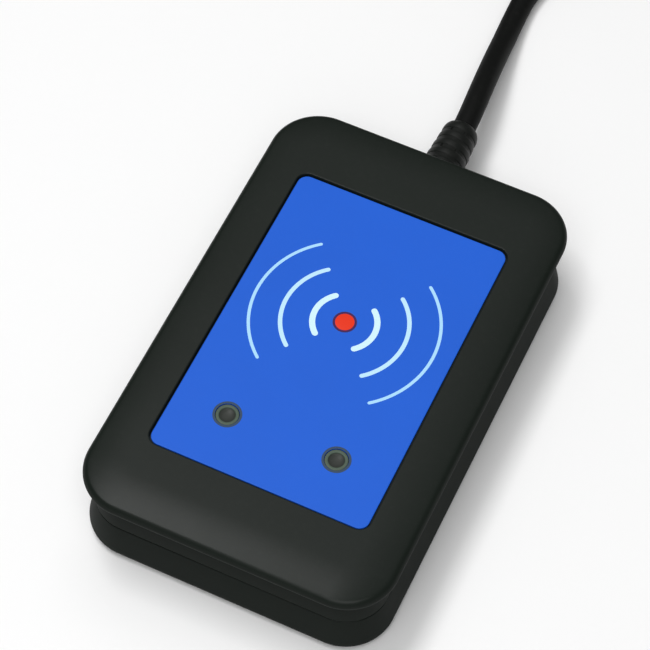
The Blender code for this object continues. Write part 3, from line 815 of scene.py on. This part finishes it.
def lead_points():
    """From the outer turn of the upper layer a quarter turn inwards to the plug's sleeve."""
    base = FIRST_LAYER_Z + CABLE_DIAMETER
    centre = on_coil(LEAD_OUT_ANGLE, COIL_OUTER_SLOT - LEAD_CIRCLE, 0.0)
    points = []
    steps = 7
    for step in range(1, steps + 1):
        turn = math.pi / 2 * step / steps
        angle = LEAD_OUT_ANGLE + turn
        height = base + lead_rise(LEAD_CIRCLE * turn)
        points.append(centre + Vector((
            LEAD_CIRCLE * math.cos(angle), LEAD_CIRCLE * math.sin(angle), height)))
    ahead = Vector((math.cos(PLUG_HEADING), math.sin(PLUG_HEADING), 0.0))
    last = points[-1].copy()
    for run in (0.5, 1.0, 1.6):
        point = last + ahead * LEAD_STRAIGHT * run
        point.z = base + lead_rise(LEAD_CIRCLE * math.pi / 2 + LEAD_STRAIGHT * run)
        points.append(point)
    return points


class READER_OT_lead(bpy.types.Operator):
    """Lays the lead from the strain relief into its wound coil and up to the plug"""

    bl_idname = "reader.lead"
    bl_label = "Lead"
    bl_options = {"REGISTER", "UNDO"}

    def execute(self, context):
        start = CABLE_ROUTE[0] - CABLE_IN_SLEEVE
        route = [start, *CABLE_ROUTE, *coil_points(), *lead_points()]
        points = smooth_line(route, LINE_SPACING)
        curve = bpy.data.curves.new("usb_lead", "CURVE")
        curve.dimensions = "3D"
        curve.bevel_depth = CABLE_DIAMETER / 2
        curve.bevel_resolution = 5
        curve.use_fill_caps = True
        spline = curve.splines.new("POLY")
        spline.points.add(len(points) - 1)
        for target, point in zip(spline.points, points):
            target.co = (*point, 1.0)
        curve.materials.append(cable_jacket())
        settle(show("usb_lead", curve), "cable_jacket", "usb_cable", "cable_coil")
        return {"FINISHED"}


# ---- housing

def four_places(x, y):
    """The places at a corner distance from the middle, in the order of CORNERS."""
    return [(side * x, end * y) for end in (-1, 1) for side in (-1, 1)]


def cylinders(places, z_low, z_high, radius, segments=48):
    bm = bmesh.new()
    for x, y in places:
        cylinder(bm, x, y, z_low, z_high, radius, segments)
    return bm


def cable_opening():
    """The round way through the rear wall."""
    bm = bmesh.new()
    cylinder(bm, 0.0, 0.0, -3.2 * MM, 3.2 * MM, CABLE_OPENING_RADIUS, 64)
    turn = Matrix.Rotation(math.pi / 2, 4, "X")
    place = Matrix.Translation((0.0, LENGTH / 2 - 2.6 * MM, CABLE_AXIS_Z))
    move(bm, bm.verts, place @ turn)
    return bm


def top_cover(segments):
    """Label recess, domed rim, round nose, undercut crease, parting edge, then the inside."""
    lip = 0.22 * MM
    stations = []
    for step in range(5):
        angle = math.pi / 2 * step / 4
        out = lip * (1.0 - math.cos(angle))
        stations.append((grown(RECESS_OUTLINE, out), HEIGHT - lip + lip * math.sin(angle)))
    for support in (0.05 * MM, 0.12 * MM):
        stations.append((grown(RECESS_OUTLINE, lip + support), HEIGHT))

    nose = arc((1.2 * MM, 16.36 * MM), 1.2 * MM, 82.0, -29.0, 14)
    slope = math.radians(8.0)
    dome_radius = (FLAT_INSET - nose[0][0]) / math.sin(slope)
    dome = []
    for step in range(12):
        tilt = slope * step / 12
        dome.append((FLAT_INSET - dome_radius * math.sin(tilt),
                     HEIGHT - dome_radius * (1 - math.cos(tilt))))
    crease = arc((1.4 * MM, CREASE_Z), 1.0 * MM, 151.0, 194.0, 8)
    rim_z = PARTING_Z + PARTING_GAP / 2
    edge = arc((PARTING_INSET + 0.2 * MM, rim_z + 0.2 * MM), 0.2 * MM, 8.0, -90.0, 4)
    rebate = PARTING_INSET + 0.65 * MM
    inner = PARTING_INSET + WALL + 0.55 * MM
    inside = [
        (rebate, rim_z), (rebate, rim_z + LIP_HEIGHT), (inner, rim_z + LIP_HEIGHT),
        (inner + 0.1 * MM, CREASE_Z), (2.6 * MM, 14.7 * MM), (3.5 * MM, CEILING_Z),
    ]
    stations += [(housing_outline(inset), z) for inset, z in dome + nose + crease + edge + inside]
    bm = bmesh.new()
    drawn(bm, RECESS_OUTLINE, RECESS_FLOOR_Z, stations, segments)
    cover = finish_mesh("top_shell", bm, housing_plastic())

    # Posts for the case screws, the bores in them, the window holes and the cable's way in
    posts = four_places(CASE_SCREW_X, CASE_SCREW_Y)
    carve(
        cover,
        (cylinders(posts, rim_z, CEILING_Z + 0.8 * MM, 2.9 * MM), "UNION"),
        (cylinders(posts, rim_z - 1.0 * MM, 14.2 * MM, 1.3 * MM, 24), "DIFFERENCE"),
        (cylinders(WINDOWS, CEILING_Z - 1.0 * MM, HEIGHT + 1.0 * MM, 2.3 * MM, 64), "DIFFERENCE"),
        (cable_opening(), "DIFFERENCE"))
    settle(cover, "housing_plastic", "top_cover")


def bottom_cover(segments):
    """Flat underside with a round edge, leaning wall, parting edge and lip, then the inside."""
    rim_z = PARTING_Z - PARTING_GAP / 2
    foot_edge = arc((1.85 * MM, 2.2 * MM), 1.6 * MM, -90.0, 12.0, 12)
    edge = arc((PARTING_INSET + 0.2 * MM, rim_z - 0.2 * MM), 0.2 * MM, 12.0, 90.0, 4)
    lip_outer = PARTING_INSET + 0.95 * MM
    lip_inner = PARTING_INSET + WALL
    inside = [
        (lip_outer, rim_z), (lip_outer, rim_z + LIP_HEIGHT), (lip_inner, rim_z + LIP_HEIGHT),
        (2.55 * MM, 3.6 * MM), (3.4 * MM, FLOOR_Z),
    ]
    stations = [(housing_outline(inset), z) for inset, z in foot_edge + edge + inside]
    bm = bmesh.new()
    drawn(bm, housing_outline(2.1 * MM), UNDERSIDE_Z, stations, segments)
    cover = finish_mesh("bottom_shell", bm, housing_plastic())

    # Posts for the case and board screws, then room for screw heads, feet and rating label,
    # the bores, and the cable's way in
    posts = four_places(CASE_SCREW_X, CASE_SCREW_Y)
    pillars = four_places(BOARD_SCREW_X, BOARD_SCREW_Y)
    feet = four_places(FOOT_X, FOOT_Y)
    rating_recess = bmesh.new()
    block(rating_recess, (0, 0, 0), (26.6 * MM, 36.6 * MM, 1.8 * MM), 1.5 * MM, 6, True)
    carve(
        cover,
        (cylinders(posts, FLOOR_Z - 0.8 * MM, rim_z, 3.2 * MM), "UNION"),
        (cylinders(pillars, FLOOR_Z - 0.8 * MM, 5.4 * MM, 2.5 * MM), "UNION"),
        (cylinders(posts, -1.0 * MM, 2.9 * MM, 2.6 * MM), "DIFFERENCE"),
        (cylinders(feet, -1.0 * MM, 1.4 * MM, 4.4 * MM, 64), "DIFFERENCE"),
        (rating_recess, "DIFFERENCE"),
        (cylinders(posts, 1.5 * MM, 12.0 * MM, 1.4 * MM, 24), "DIFFERENCE"),
        (cylinders(pillars, 2.9 * MM, 9.0 * MM, 1.1 * MM, 24), "DIFFERENCE"),
        (cable_opening(), "DIFFERENCE"))
    settle(cover, "housing_plastic", "bottom_cover")


class READER_OT_housing(bpy.types.Operator):
    """Makes the upper and lower covers"""

    bl_idname = "reader.housing"
    bl_label = "Housing"
    bl_options = {"REGISTER", "UNDO"}

    def execute(self, context):
        segments = context.scene.reader_housing.corner_segments
        top_cover(segments)
        bottom_cover(segments)
        return {"FINISHED"}


# ---- label

def film_sheet(bm, outline, low, high, segments, edge):
    """A thin sheet with a softened upper edge."""
    drawn(bm, grown(outline, -3 * edge), high, [
        (grown(outline, -edge), high), (grown(outline, -0.3 * edge), high - 0.3 * edge),
        (outline, high - edge), (outline, low)], segments)


def stroke(bm, centre, radius, width, middle, half_sweep):
    """A flat arc with round ends, thick as ink."""
    before = set(bm.verts)
    start = middle - half_sweep
    across = [
        bm.verts.new(centre + Vector((r * math.cos(start), r * math.sin(start), 0.0)))
        for r in (radius - width / 2, radius, radius + width / 2)]
    edges = [bm.edges.new(pair) for pair in zip(across, across[1:])]
    bmesh.ops.spin(
        bm, geom=across + edges, cent=centre, axis=(0, 0, 1), angle=2 * half_sweep, steps=44,
        use_merge=False)
    for angle, way in ((start, -1), (start + 2 * half_sweep, 1)):
        out = Vector((math.cos(angle), math.sin(angle), 0.0))
        cap_centre = centre + out * radius
        rim = bm.verts.new(centre + out * (radius + width / 2))
        hub = bm.verts.new(cap_centre)
        spoke = bm.edges.new((hub, rim))
        bmesh.ops.spin(
            bm, geom=[hub, rim, spoke], cent=cap_centre, axis=(0, 0, way), angle=math.pi,
            steps=10, use_merge=False)
    made = [vert for vert in bm.verts if vert not in before]
    bmesh.ops.remove_doubles(bm, verts=made, dist=4 * WELD)


def ink_ring(inner, outer, base):
    """The closed section of a flat ring as thick as the ink: printed round the dot, painted shade
    round the windows.
    """
    top = base + INK_THICKNESS
    return [(inner, base), (outer, base), (outer, top), (inner, top), (inner, base)]


def thicken(bm, height):
    """Raises every flat face into a thin slab."""
    bmesh.ops.recalc_face_normals(bm, faces=bm.faces)
    made = bmesh.ops.extrude_face_region(bm, geom=bm.faces[:], use_keep_orig=True)["geom"]
    bmesh.ops.translate(bm, vec=(0, 0, height), verts=points_of(made))


class READER_OT_label(bpy.types.Operator):
    """Makes the recessed label film with its printed arcs and dot"""

    bl_idname = "reader.label"
    bl_label = "Label"
    bl_options = {"REGISTER", "UNDO"}

    def execute(self, context):
        settings = context.scene.reader_label
        bm = bmesh.new()
        film_sheet(bm, LABEL_OUTLINE, LABEL_TOP_Z - LABEL_THICKNESS, LABEL_TOP_Z, 12, 0.07 * MM)
        film = finish_mesh("label", bm, label_film())
        holes = cylinders(WINDOWS, LABEL_TOP_Z - 1.0 * MM, LABEL_TOP_Z + 1.0 * MM, 2.08 * MM, 64)
        carve(film, (holes, "DIFFERENCE"), sharp=PRINT_SHARP)
        settle(film, "label_film", "front_label")

        centre = Vector((0.0, DOT_Y, LABEL_TOP_Z))
        near, far = Vector(settings.print_near), Vector(settings.print_far)
        for index, (name, radius, width, sweep) in enumerate(ARCS):
            bm = bmesh.new()
            for middle in (0.0, math.pi):
                stroke(bm, centre, radius, width, middle, math.radians(sweep))
            thicken(bm, INK_THICKNESS)
            ink = print_ink(f"pale_ink_{name}", near.lerp(far, index / (len(ARCS) - 1)))
            settle(finish_mesh(f"label_arcs_{name}", bm, ink))

        base, top = LABEL_TOP_Z, LABEL_TOP_Z + 0.03 * MM
        place = Matrix.Translation((0.0, DOT_Y, 0.0))
        drop = [(0.0, base), (1.66 * MM, base), (1.66 * MM, top), (1.58 * MM, top + 0.01 * MM),
                (0.9 * MM, top + 0.04 * MM), (0.0, top + 0.05 * MM)]
        red = print_ink("red_ink", settings.dot, 0.35)
        settle(turned_piece("label_dot", drop, 64, place, red, PRINT_SHARP))
        plum = print_ink("plum_ink", (0.055, 0.018, 0.085))
        rim = ink_ring(1.67 * MM, 2.08 * MM, base)
        settle(turned_piece("label_dot_rim", rim, 64, place, plum, PRINT_SHARP))

        # Painted shade: a dark slate ring round each window hole stands in for the shaded edge of the
        # hole
        bm = bmesh.new()
        for x, y in WINDOWS:
            turned(bm, ink_ring(2.09 * MM, 2.5 * MM, base), 64, Matrix.Translation((x, y, 0.0)))
        slate = print_ink("window_edge_shade_ink", (0.040, 0.068, 0.115))
        settle(finish_mesh("label_window_shade_rings", bm, slate, PRINT_SHARP))
        return {"FINISHED"}


# ---- windows

class READER_OT_windows(bpy.types.Operator):
    """Makes the two indicator windows: a ring round a dished light guide"""

    bl_idname = "reader.windows"
    bl_label = "Windows"
    bl_options = {"REGISTER", "UNDO"}

    def execute(self, context):
        top = LABEL_TOP_Z / MM - 0.1
        guide = in_mm([
            (0.0, top - 0.42), (0.6, top - 0.40), (1.1, top - 0.33), (1.36, top - 0.22),
            (1.36, 15.3), (2.8, 15.3), (2.8, 14.3), (1.5, 14.3), (1.5, 9.7), (0.0, 9.7)])
        bezel = in_mm([
            (1.38, 15.4), (2.0, 15.4), (2.0, top - 0.14), (1.97, top - 0.04), (1.90, top),
            (1.50, top), (1.42, top - 0.05), (1.38, top - 0.15), (1.38, 15.4)])
        for side, spot in zip(("left", "right"), WINDOWS):
            place = Matrix.Translation((*spot, 0.0))
            pipe = turned_piece(
                f"light_guide_{side}", guide, 48, place, window_glass_painted_shade(), RUBBER_SHARP)
            settle(pipe, "clear_acrylic", f"light_pipe_{side}")
            ring = turned_piece(
                f"window_ring_{side}", bezel, 48, place, bezel_painted_highlight(), RUBBER_SHARP)
            settle(ring, "clear_acrylic")
        return {"FINISHED"}


# ---- strain relief

def sleeve_profile():
    """Inner flange, neck through the wall, collar, tapering round rings and a round end."""
    points = [
        (0.0, 37.0), (2.3, 37.0), (2.3, 38.3), (4.3, 38.3), (4.3, 39.7), (3.0, 39.7),
        (3.0, 43.5), (3.72, 43.5), (3.9, 43.62), (4.0, 43.95), (4.0, 44.8), (3.9, 45.1),
        (3.78, SLOT_BANDS[0][0]),
    ]
    radius = 3.88
    for start, _ in SLOT_BANDS[:-1]:
        low, high = start + SLOT_WIDTH, start + SLOT_PITCH
        points += [
            (radius - 0.12, low), (radius - 0.03, low + 0.1), (radius, low + 0.35),
            (radius - 0.02, high - 0.35), (radius - 0.07, high - 0.1), (radius - 0.16, high)]
        radius -= 0.13
    cap = SLOT_BANDS[-1][0] + SLOT_WIDTH
    points += [
        (3.26, cap), (3.36, cap + 0.1), (3.4, cap + 0.4), (3.38, 55.4), (3.26, 55.95),
        (3.04, 56.4), (2.74, 56.7), (2.45, 56.8), (2.28, 56.8), (2.24, 56.6), (2.24, 55.2),
        (0.0, 55.2),
    ]
    return in_mm(points)


class READER_OT_sleeve(bpy.types.Operator):
    """Makes the strain relief: rings joined by webs that alternate from band to band"""

    bl_idname = "reader.sleeve"
    bl_label = "Strain relief"
    bl_options = {"REGISTER", "UNDO"}

    def execute(self, context):
        bm = bmesh.new()
        turned(bm, sleeve_profile(), SLEEVE_STEPS)
        for start, webs in SLOT_BANDS:
            low, high = start * MM, (start + SLOT_WIDTH) * MM
            faces = []
            for face in bm.faces:
                centre = face.calc_center_median()
                if not low < centre.z < high or centre.xy.length < SLOT_OPEN_RADIUS:
                    continue
                away = (math.atan2(centre.y, centre.x) - math.radians(webs)) % math.pi
                if WEB_HALF < away < math.pi - WEB_HALF:
                    faces.append(face)
            made = bmesh.ops.extrude_face_region(bm, geom=faces)["geom"]
            for vert in points_of(made):
                vert.co.xy *= 1.0 - SLOT_DEPTH / vert.co.xy.length
                # Slot faces take material 1, which paints the shade that falls in the slots
                for face in vert.link_faces:
                    face.material_index = 1
        move(bm, bm.verts, Matrix.Translation((0.0, 0.0, CABLE_AXIS_Z)) @ LAID_DOWN)
        rubber = soft_rubber("sleeve_rubber", (0.0064, 0.0076, 0.0066), 0.50)
        sleeve = finish_mesh("strain_relief_sleeve", bm, rubber)
        # Painted shade: a near-black rubber on the slot walls and floors stands in for the shade
        # inside the slots
        shaded = soft_rubber("slot_painted_shade", (0.0012, 0.0014, 0.0012), 0.85, 0.03)
        sleeve.data.materials.append(shaded)
        settle(sleeve, "strain_relief_rubber", "strain_relief")
        return {"FINISHED"}


# ---- plug and tie

def plug_place():
    """From the plug's own axes, forwards along +Y, to where it lies on the coil."""
    side = Vector((math.sin(PLUG_HEADING), -math.cos(PLUG_HEADING), 0.0))
    origin = COIL_CENTRE + side * PLUG_OFFSET
    origin.z = PLUG_AXIS_Z
    return Matrix.Translation(origin) @ Matrix.Rotation(PLUG_HEADING - math.pi / 2, 4, "Z")


def plug_body():
    """The overmould: a soft-edged block with a ribbed thumb hollow on each face and a tail."""
    bm = bmesh.new()
    middle = PLUG_REAR + PLUG_BODY.y / 2
    block(bm, (0, middle, 0), PLUG_BODY, 1.7 * MM, 6)
    wide = [f for f in bm.faces if abs(f.normal.z) > 0.99 and f.calc_area() > 1.0e-4]
    for face in wide:
        up = math.copysign(1.0, face.normal.z)
        bmesh.ops.inset_region(bm, faces=[face], thickness=1.6 * MM, use_even_offset=True)
        bmesh.ops.inset_region(bm, faces=[face], thickness=0.35 * MM, use_even_offset=True)
        bmesh.ops.translate(bm, vec=(0, 0, -0.32 * MM * up), verts=face.verts)
    body = finish_mesh("plug_body", bm, plug_plastic(), RUBBER_SHARP)

    ribs = bmesh.new()
    for up in (-1.0, 1.0):
        for row in range(6):
            block(
                ribs, (0, middle - 4.5 * MM + 1.8 * MM * row, up * (PLUG_BODY.z / 2 - 0.32 * MM)),
                (7.6 * MM, 0.8 * MM, 0.7 * MM), 0.22 * MM, 2)
    tail = bmesh.new()
    profile = [(0.0, 3.0), (3.3, 3.0), (3.3, -0.6)]
    radius = 3.25
    for ring in range(4):
        height = -0.9 - ring * 1.75
        profile += [(radius - 0.55, height), (radius - 0.55, height - 0.55),
                    (radius, height - 0.65), (radius - 0.04, height - 1.6)]
        radius -= 0.12
    profile += [(2.6, -7.95), (2.3, -8.0), (2.24, -7.8), (2.24, -6.5), (0.0, -6.5)]
    turned(tail, in_mm(profile), 40)
    move(tail, tail.verts, Matrix.Translation((0.0, PLUG_REAR, 0.0)) @ LAID_DOWN)
    carve(body, (ribs, "UNION"), (tail, "UNION"), sharp=RUBBER_SHARP)
    body.data.transform(plug_place())
    settle(body, "plug_plastic", "plug_overmould")


def plug_shell():
    """The folded steel tube with its four latch windows and the seam along its underside."""
    bm = bmesh.new()
    wall = 0.3 * MM
    outer = (PLUG_SHELL.x / 2, PLUG_SHELL.z / 2, 0.75 * MM)
    inner = grown(outer, -wall)
    length = PLUG_SHELL.y
    drawn(bm, outer, 0.0, [
        (outer, length - 0.12 * MM), (grown(outer, -0.06 * MM), length - 0.02 * MM),
        (grown(outer, -0.14 * MM), length), (inner, length - 0.04 * MM), (inner, 0.0)],
        6, hollow=True)
    turn = Matrix.Rotation(math.pi / 2, 4, "X")
    flip = Matrix.Rotation(math.pi, 4, "Z")
    move(bm, bm.verts, Matrix.Translation((0.0, SHELL_REAR, 0.0)) @ flip @ turn)
    steel = plated_metal("nickel_shell", (0.60, 0.59, 0.56), 0.24)
    shell = finish_mesh("plug_steel_shell", bm, steel, METAL_SHARP)
    windows = bmesh.new()
    for x in (-3.0 * MM, 3.0 * MM):
        block(windows, (x, SHELL_REAR + length / 2 + 0.2 * MM, 0),
              (2.5 * MM, 2.0 * MM, PLUG_SHELL.z + 2.0 * MM))
    seam = bmesh.new()
    block(seam, (0, SHELL_REAR + length / 2, -PLUG_SHELL.z / 2),
          (0.12 * MM, length + 2.0 * MM, 0.3 * MM))
    carve(shell, (windows, "DIFFERENCE"), (seam, "DIFFERENCE"), sharp=METAL_SHARP)
    shell.data.transform(plug_place())
    settle(shell, "plated_shell", "plug_shell")


def coil_tie():
    """A strap wound once round the turns, its end lying over itself."""
    bm = bmesh.new()
    half_width = COIL_COLUMNS * CABLE_DIAMETER / 2 + 0.6 * MM
    middle = (TIE_THICKNESS + TIE_TOP_Z) / 2
    inner = (half_width, (TIE_TOP_Z - TIE_THICKNESS) / 2, 2.6 * MM)
    outer = grown(inner, TIE_THICKNESS)
    soft = 0.2 * MM
    half = TIE_WIDTH / 2
    drawn(bm, inner, -half + soft, [
        (grown(inner, 0.3 * soft), -half + 0.3 * soft), (grown(inner, soft), -half),
        (grown(outer, -soft), -half), (grown(outer, -0.3 * soft), -half + 0.3 * soft),
        (outer, -half + soft), (outer, half - soft),
        (grown(outer, -0.3 * soft), half - 0.3 * soft), (grown(outer, -soft), half),
        (grown(inner, soft), half), (grown(inner, 0.3 * soft), half - 0.3 * soft),
        (inner, half - soft)], 8, hollow=True)
    block(bm, (1.5 * MM, outer[1] + 0.36 * MM, 0.0), (11.0 * MM, 0.8 * MM, TIE_WIDTH - 0.5 * MM),
          0.25 * MM, 3)
    upright = Matrix.Rotation(math.pi / 2, 4, "X")
    centre = on_coil(TIE_ANGLE, COIL_OUTER_SLOT - 2.5 * CABLE_DIAMETER, middle)
    turn = Matrix.Rotation(TIE_ANGLE, 4, "Z")
    move(bm, bm.verts, Matrix.Translation(centre) @ turn @ upright)
    band = fine_material(
        "tie_fabric", (0.014, 0.014, 0.0145), 0.85, grains=2200.0, tone=0.8, spread=0.1,
        depth=0.00015, strength=0.7, dust=0.05, ior=1.45)
    settle(finish_mesh("coil_tie", bm, band, RUBBER_SHARP), "tie_band", "cable_tie")


class READER_OT_plug(bpy.types.Operator):
    """Makes the plug that lies on the coil, and the tie that holds the turns"""

    bl_idname = "reader.plug"
    bl_label = "Plug and tie"
    bl_options = {"REGISTER", "UNDO"}

    def execute(self, context):
        plug_body()
        plug_shell()
        coil_tie()
        white = fine_material("tongue_plastic", (0.70, 0.70, 0.67), 0.42, grains=3000.0, tone=0.08)
        gold = plated_metal("gold_plate", (0.83, 0.58, 0.20), 0.2)
        dress(white, "plug_tongue")
        dress(gold, *[f"plug_contact_{number}" for number in range(1, 5)])
        return {"FINISHED"}


# ---- underside

class READER_OT_underside(bpy.types.Operator):
    """Makes the feet, the case screws and the blank rating label"""

    bl_idname = "reader.underside"
    bl_label = "Underside"
    bl_options = {"REGISTER", "UNDO"}

    def execute(self, context):
        rubber = soft_rubber("foot_rubber", (0.016, 0.016, 0.017), 0.7)
        foot = in_mm([
            (0.0, 1.1), (4.05, 1.1), (4.05, 0.35), (3.97, 0.14), (3.78, 0.02), (3.6, 0.0),
            (2.2, 0.0), (2.05, 0.08), (1.9, 0.22), (0.0, 0.25)])
        zinc = plated_metal("zinc_screw", (0.56, 0.55, 0.53), 0.30)
        screw = in_mm([
            (0.0, 12.6), (0.6, 12.4), (1.0, 11.6), (1.0, 2.6), (2.2, 2.6), (2.25, 2.5),
            (2.25, 1.8), (2.1, 1.4), (1.7, 1.12), (1.1, 1.02), (0.0, 1.0)])
        feet = four_places(FOOT_X, FOOT_Y)
        screws = four_places(CASE_SCREW_X, CASE_SCREW_Y)
        for corner, at_foot, at_screw in zip(CORNERS, feet, screws):
            place = Matrix.Translation((*at_foot, 0.0))
            pad = turned_piece(f"foot_pad_{corner}", foot, 64, place, rubber, RUBBER_SHARP)
            settle(pad, "foot_rubber", f"foot_{corner}")

            place = Matrix.Translation((*at_screw, 0.0))
            made = turned_piece(f"cross_screw_{corner}", screw, 48, place, zinc, METAL_SHARP)
            cross = []
            for size in ((2.5 * MM, 0.5 * MM), (0.5 * MM, 2.5 * MM)):
                slot = bmesh.new()
                block(slot, (*at_screw, 1.4 * MM), (*size, 1.5 * MM), 0.12 * MM, 2)
                cross.append((slot, "DIFFERENCE"))
            carve(made, *cross, sharp=METAL_SHARP)
            settle(made, "screw_steel", f"case_screw_{corner}")

        bm = bmesh.new()
        outline = (13.0 * MM, 18.0 * MM, 1.2 * MM)
        film_sheet(bm, outline, 0.68 * MM, 0.85 * MM, 8, 0.04 * MM)
        paper = fine_material(
            "rating_film", (0.58, 0.59, 0.58), 0.45, grains=2500.0, tone=0.05, depth=0.00001)
        settle(finish_mesh("blank_rating_label", bm, paper), "rating_label_film", "rating_label")
        bm = bmesh.new()
        outline, low = (12.2 * MM, 17.2 * MM, 0.9 * MM), 0.66 * MM
        thin = grown(outline, -0.25 * MM)
        drawn(bm, outline, low, [
            (outline, low + INK_THICKNESS), (thin, low + INK_THICKNESS), (thin, low)],
            6, hollow=True)
        ink = print_ink("border_ink", (0.10, 0.11, 0.12))
        settle(finish_mesh("rating_label_border", bm, ink), "rating_label_film")
        return {"FINISHED"}


# ---- inside

class READER_OT_inside(bpy.types.Operator):
    """Finishes the parts that the covers enclose"""

    bl_idname = "reader.inside"
    bl_label = "Inside"
    bl_options = {"REGISTER", "UNDO"}

    def execute(self, context):
        moulded = fine_material(
            "chip_moulding", (0.018, 0.018, 0.018), 0.55, grains=2500.0, tone=0.6)
        ivory = fine_material("socket_nylon", (0.70, 0.66, 0.55), 0.45, grains=2500.0, tone=0.08)
        dress(printed_board(), "circuit_board")
        dress(wound_copper(), "low_frequency_antenna_coil", "high_frequency_antenna_loop")
        dress(moulded, "microcontroller", "radio_chip", "voltage_regulator", "buzzer")
        dress(ivory, "tuning_capacitor", "cable_socket", "cable_connector")
        dress(plated_metal("tin_can", (0.66, 0.66, 0.64), 0.28), "crystal", "supply_capacitor")
        dress(plated_metal("board_screw_zinc", (0.56, 0.55, 0.53), 0.34),
              *[f"board_screw_{corner}" for corner in CORNERS])
        colours = {
            "led_green": (0.08, 0.45, 0.12), "led_red": (0.55, 0.04, 0.03),
            "wire_red": (0.5, 0.02, 0.02), "wire_white": (0.72, 0.72, 0.70),
            "wire_green": (0.02, 0.25, 0.06), "wire_black": (0.012, 0.012, 0.012),
        }
        for name, colour in colours.items():
            dress(fine_material(name, colour, 0.35, grains=2500.0, tone=0.12), name)
        return {"FINISHED"}


# ---- panel

class READER_PT_panel(bpy.types.Panel):
    """Lists the reader's pieces and their settings"""

    bl_idname = "READER_PT_panel"
    bl_label = "Card reader"
    bl_space_type = "VIEW_3D"
    bl_region_type = "UI"
    bl_category = "Card reader"

    def draw(self, context):
        for heading, group, operators in PANEL_ROWS:
            box = self.layout.box()
            box.label(text=heading)
            settings = getattr(context.scene, group)
            for name in settings.__annotations__:
                box.prop(settings, name)
            for operator in operators:
                box.operator(operator)


PANEL_ROWS = (
    ("Housing", "reader_housing",
     ("reader.housing", "reader.windows", "reader.underside", "reader.inside")),
    ("Label", "reader_label", ("reader.label",)),
    ("Lead", "reader_cable", ("reader.lead", "reader.sleeve", "reader.plug")),
    ("Stage", "reader_stage", ("reader.stage",)),
)

SETTINGS = {
    "reader_housing": HousingSettings, "reader_label": LabelSettings,
    "reader_cable": CableSettings, "reader_stage": StageSettings,
}
CLASSES = (
    *SETTINGS.values(),
    READER_OT_stage, READER_OT_lead, READER_OT_housing, READER_OT_label, READER_OT_windows,
    READER_OT_sleeve, READER_OT_plug, READER_OT_underside, READER_OT_inside, READER_PT_panel,
)


def register():
    for cls in CLASSES:
        bpy.utils.register_class(cls)
    for name, group in SETTINGS.items():
        setattr(bpy.types.Scene, name, PointerProperty(type=group))


def unregister():
    for name in SETTINGS:
        delattr(bpy.types.Scene, name)
    for cls in reversed(CLASSES):
        bpy.utils.unregister_class(cls)


def main():
    register()
    bpy.ops.reader.stage()
    bpy.ops.reader.lead()
    bpy.ops.reader.sleeve()
    bpy.ops.reader.plug()
    bpy.ops.reader.housing()
    bpy.ops.reader.label()
    bpy.ops.reader.windows()
    bpy.ops.reader.underside()
    bpy.ops.reader.inside()


if __name__ == "__main__":
    main()
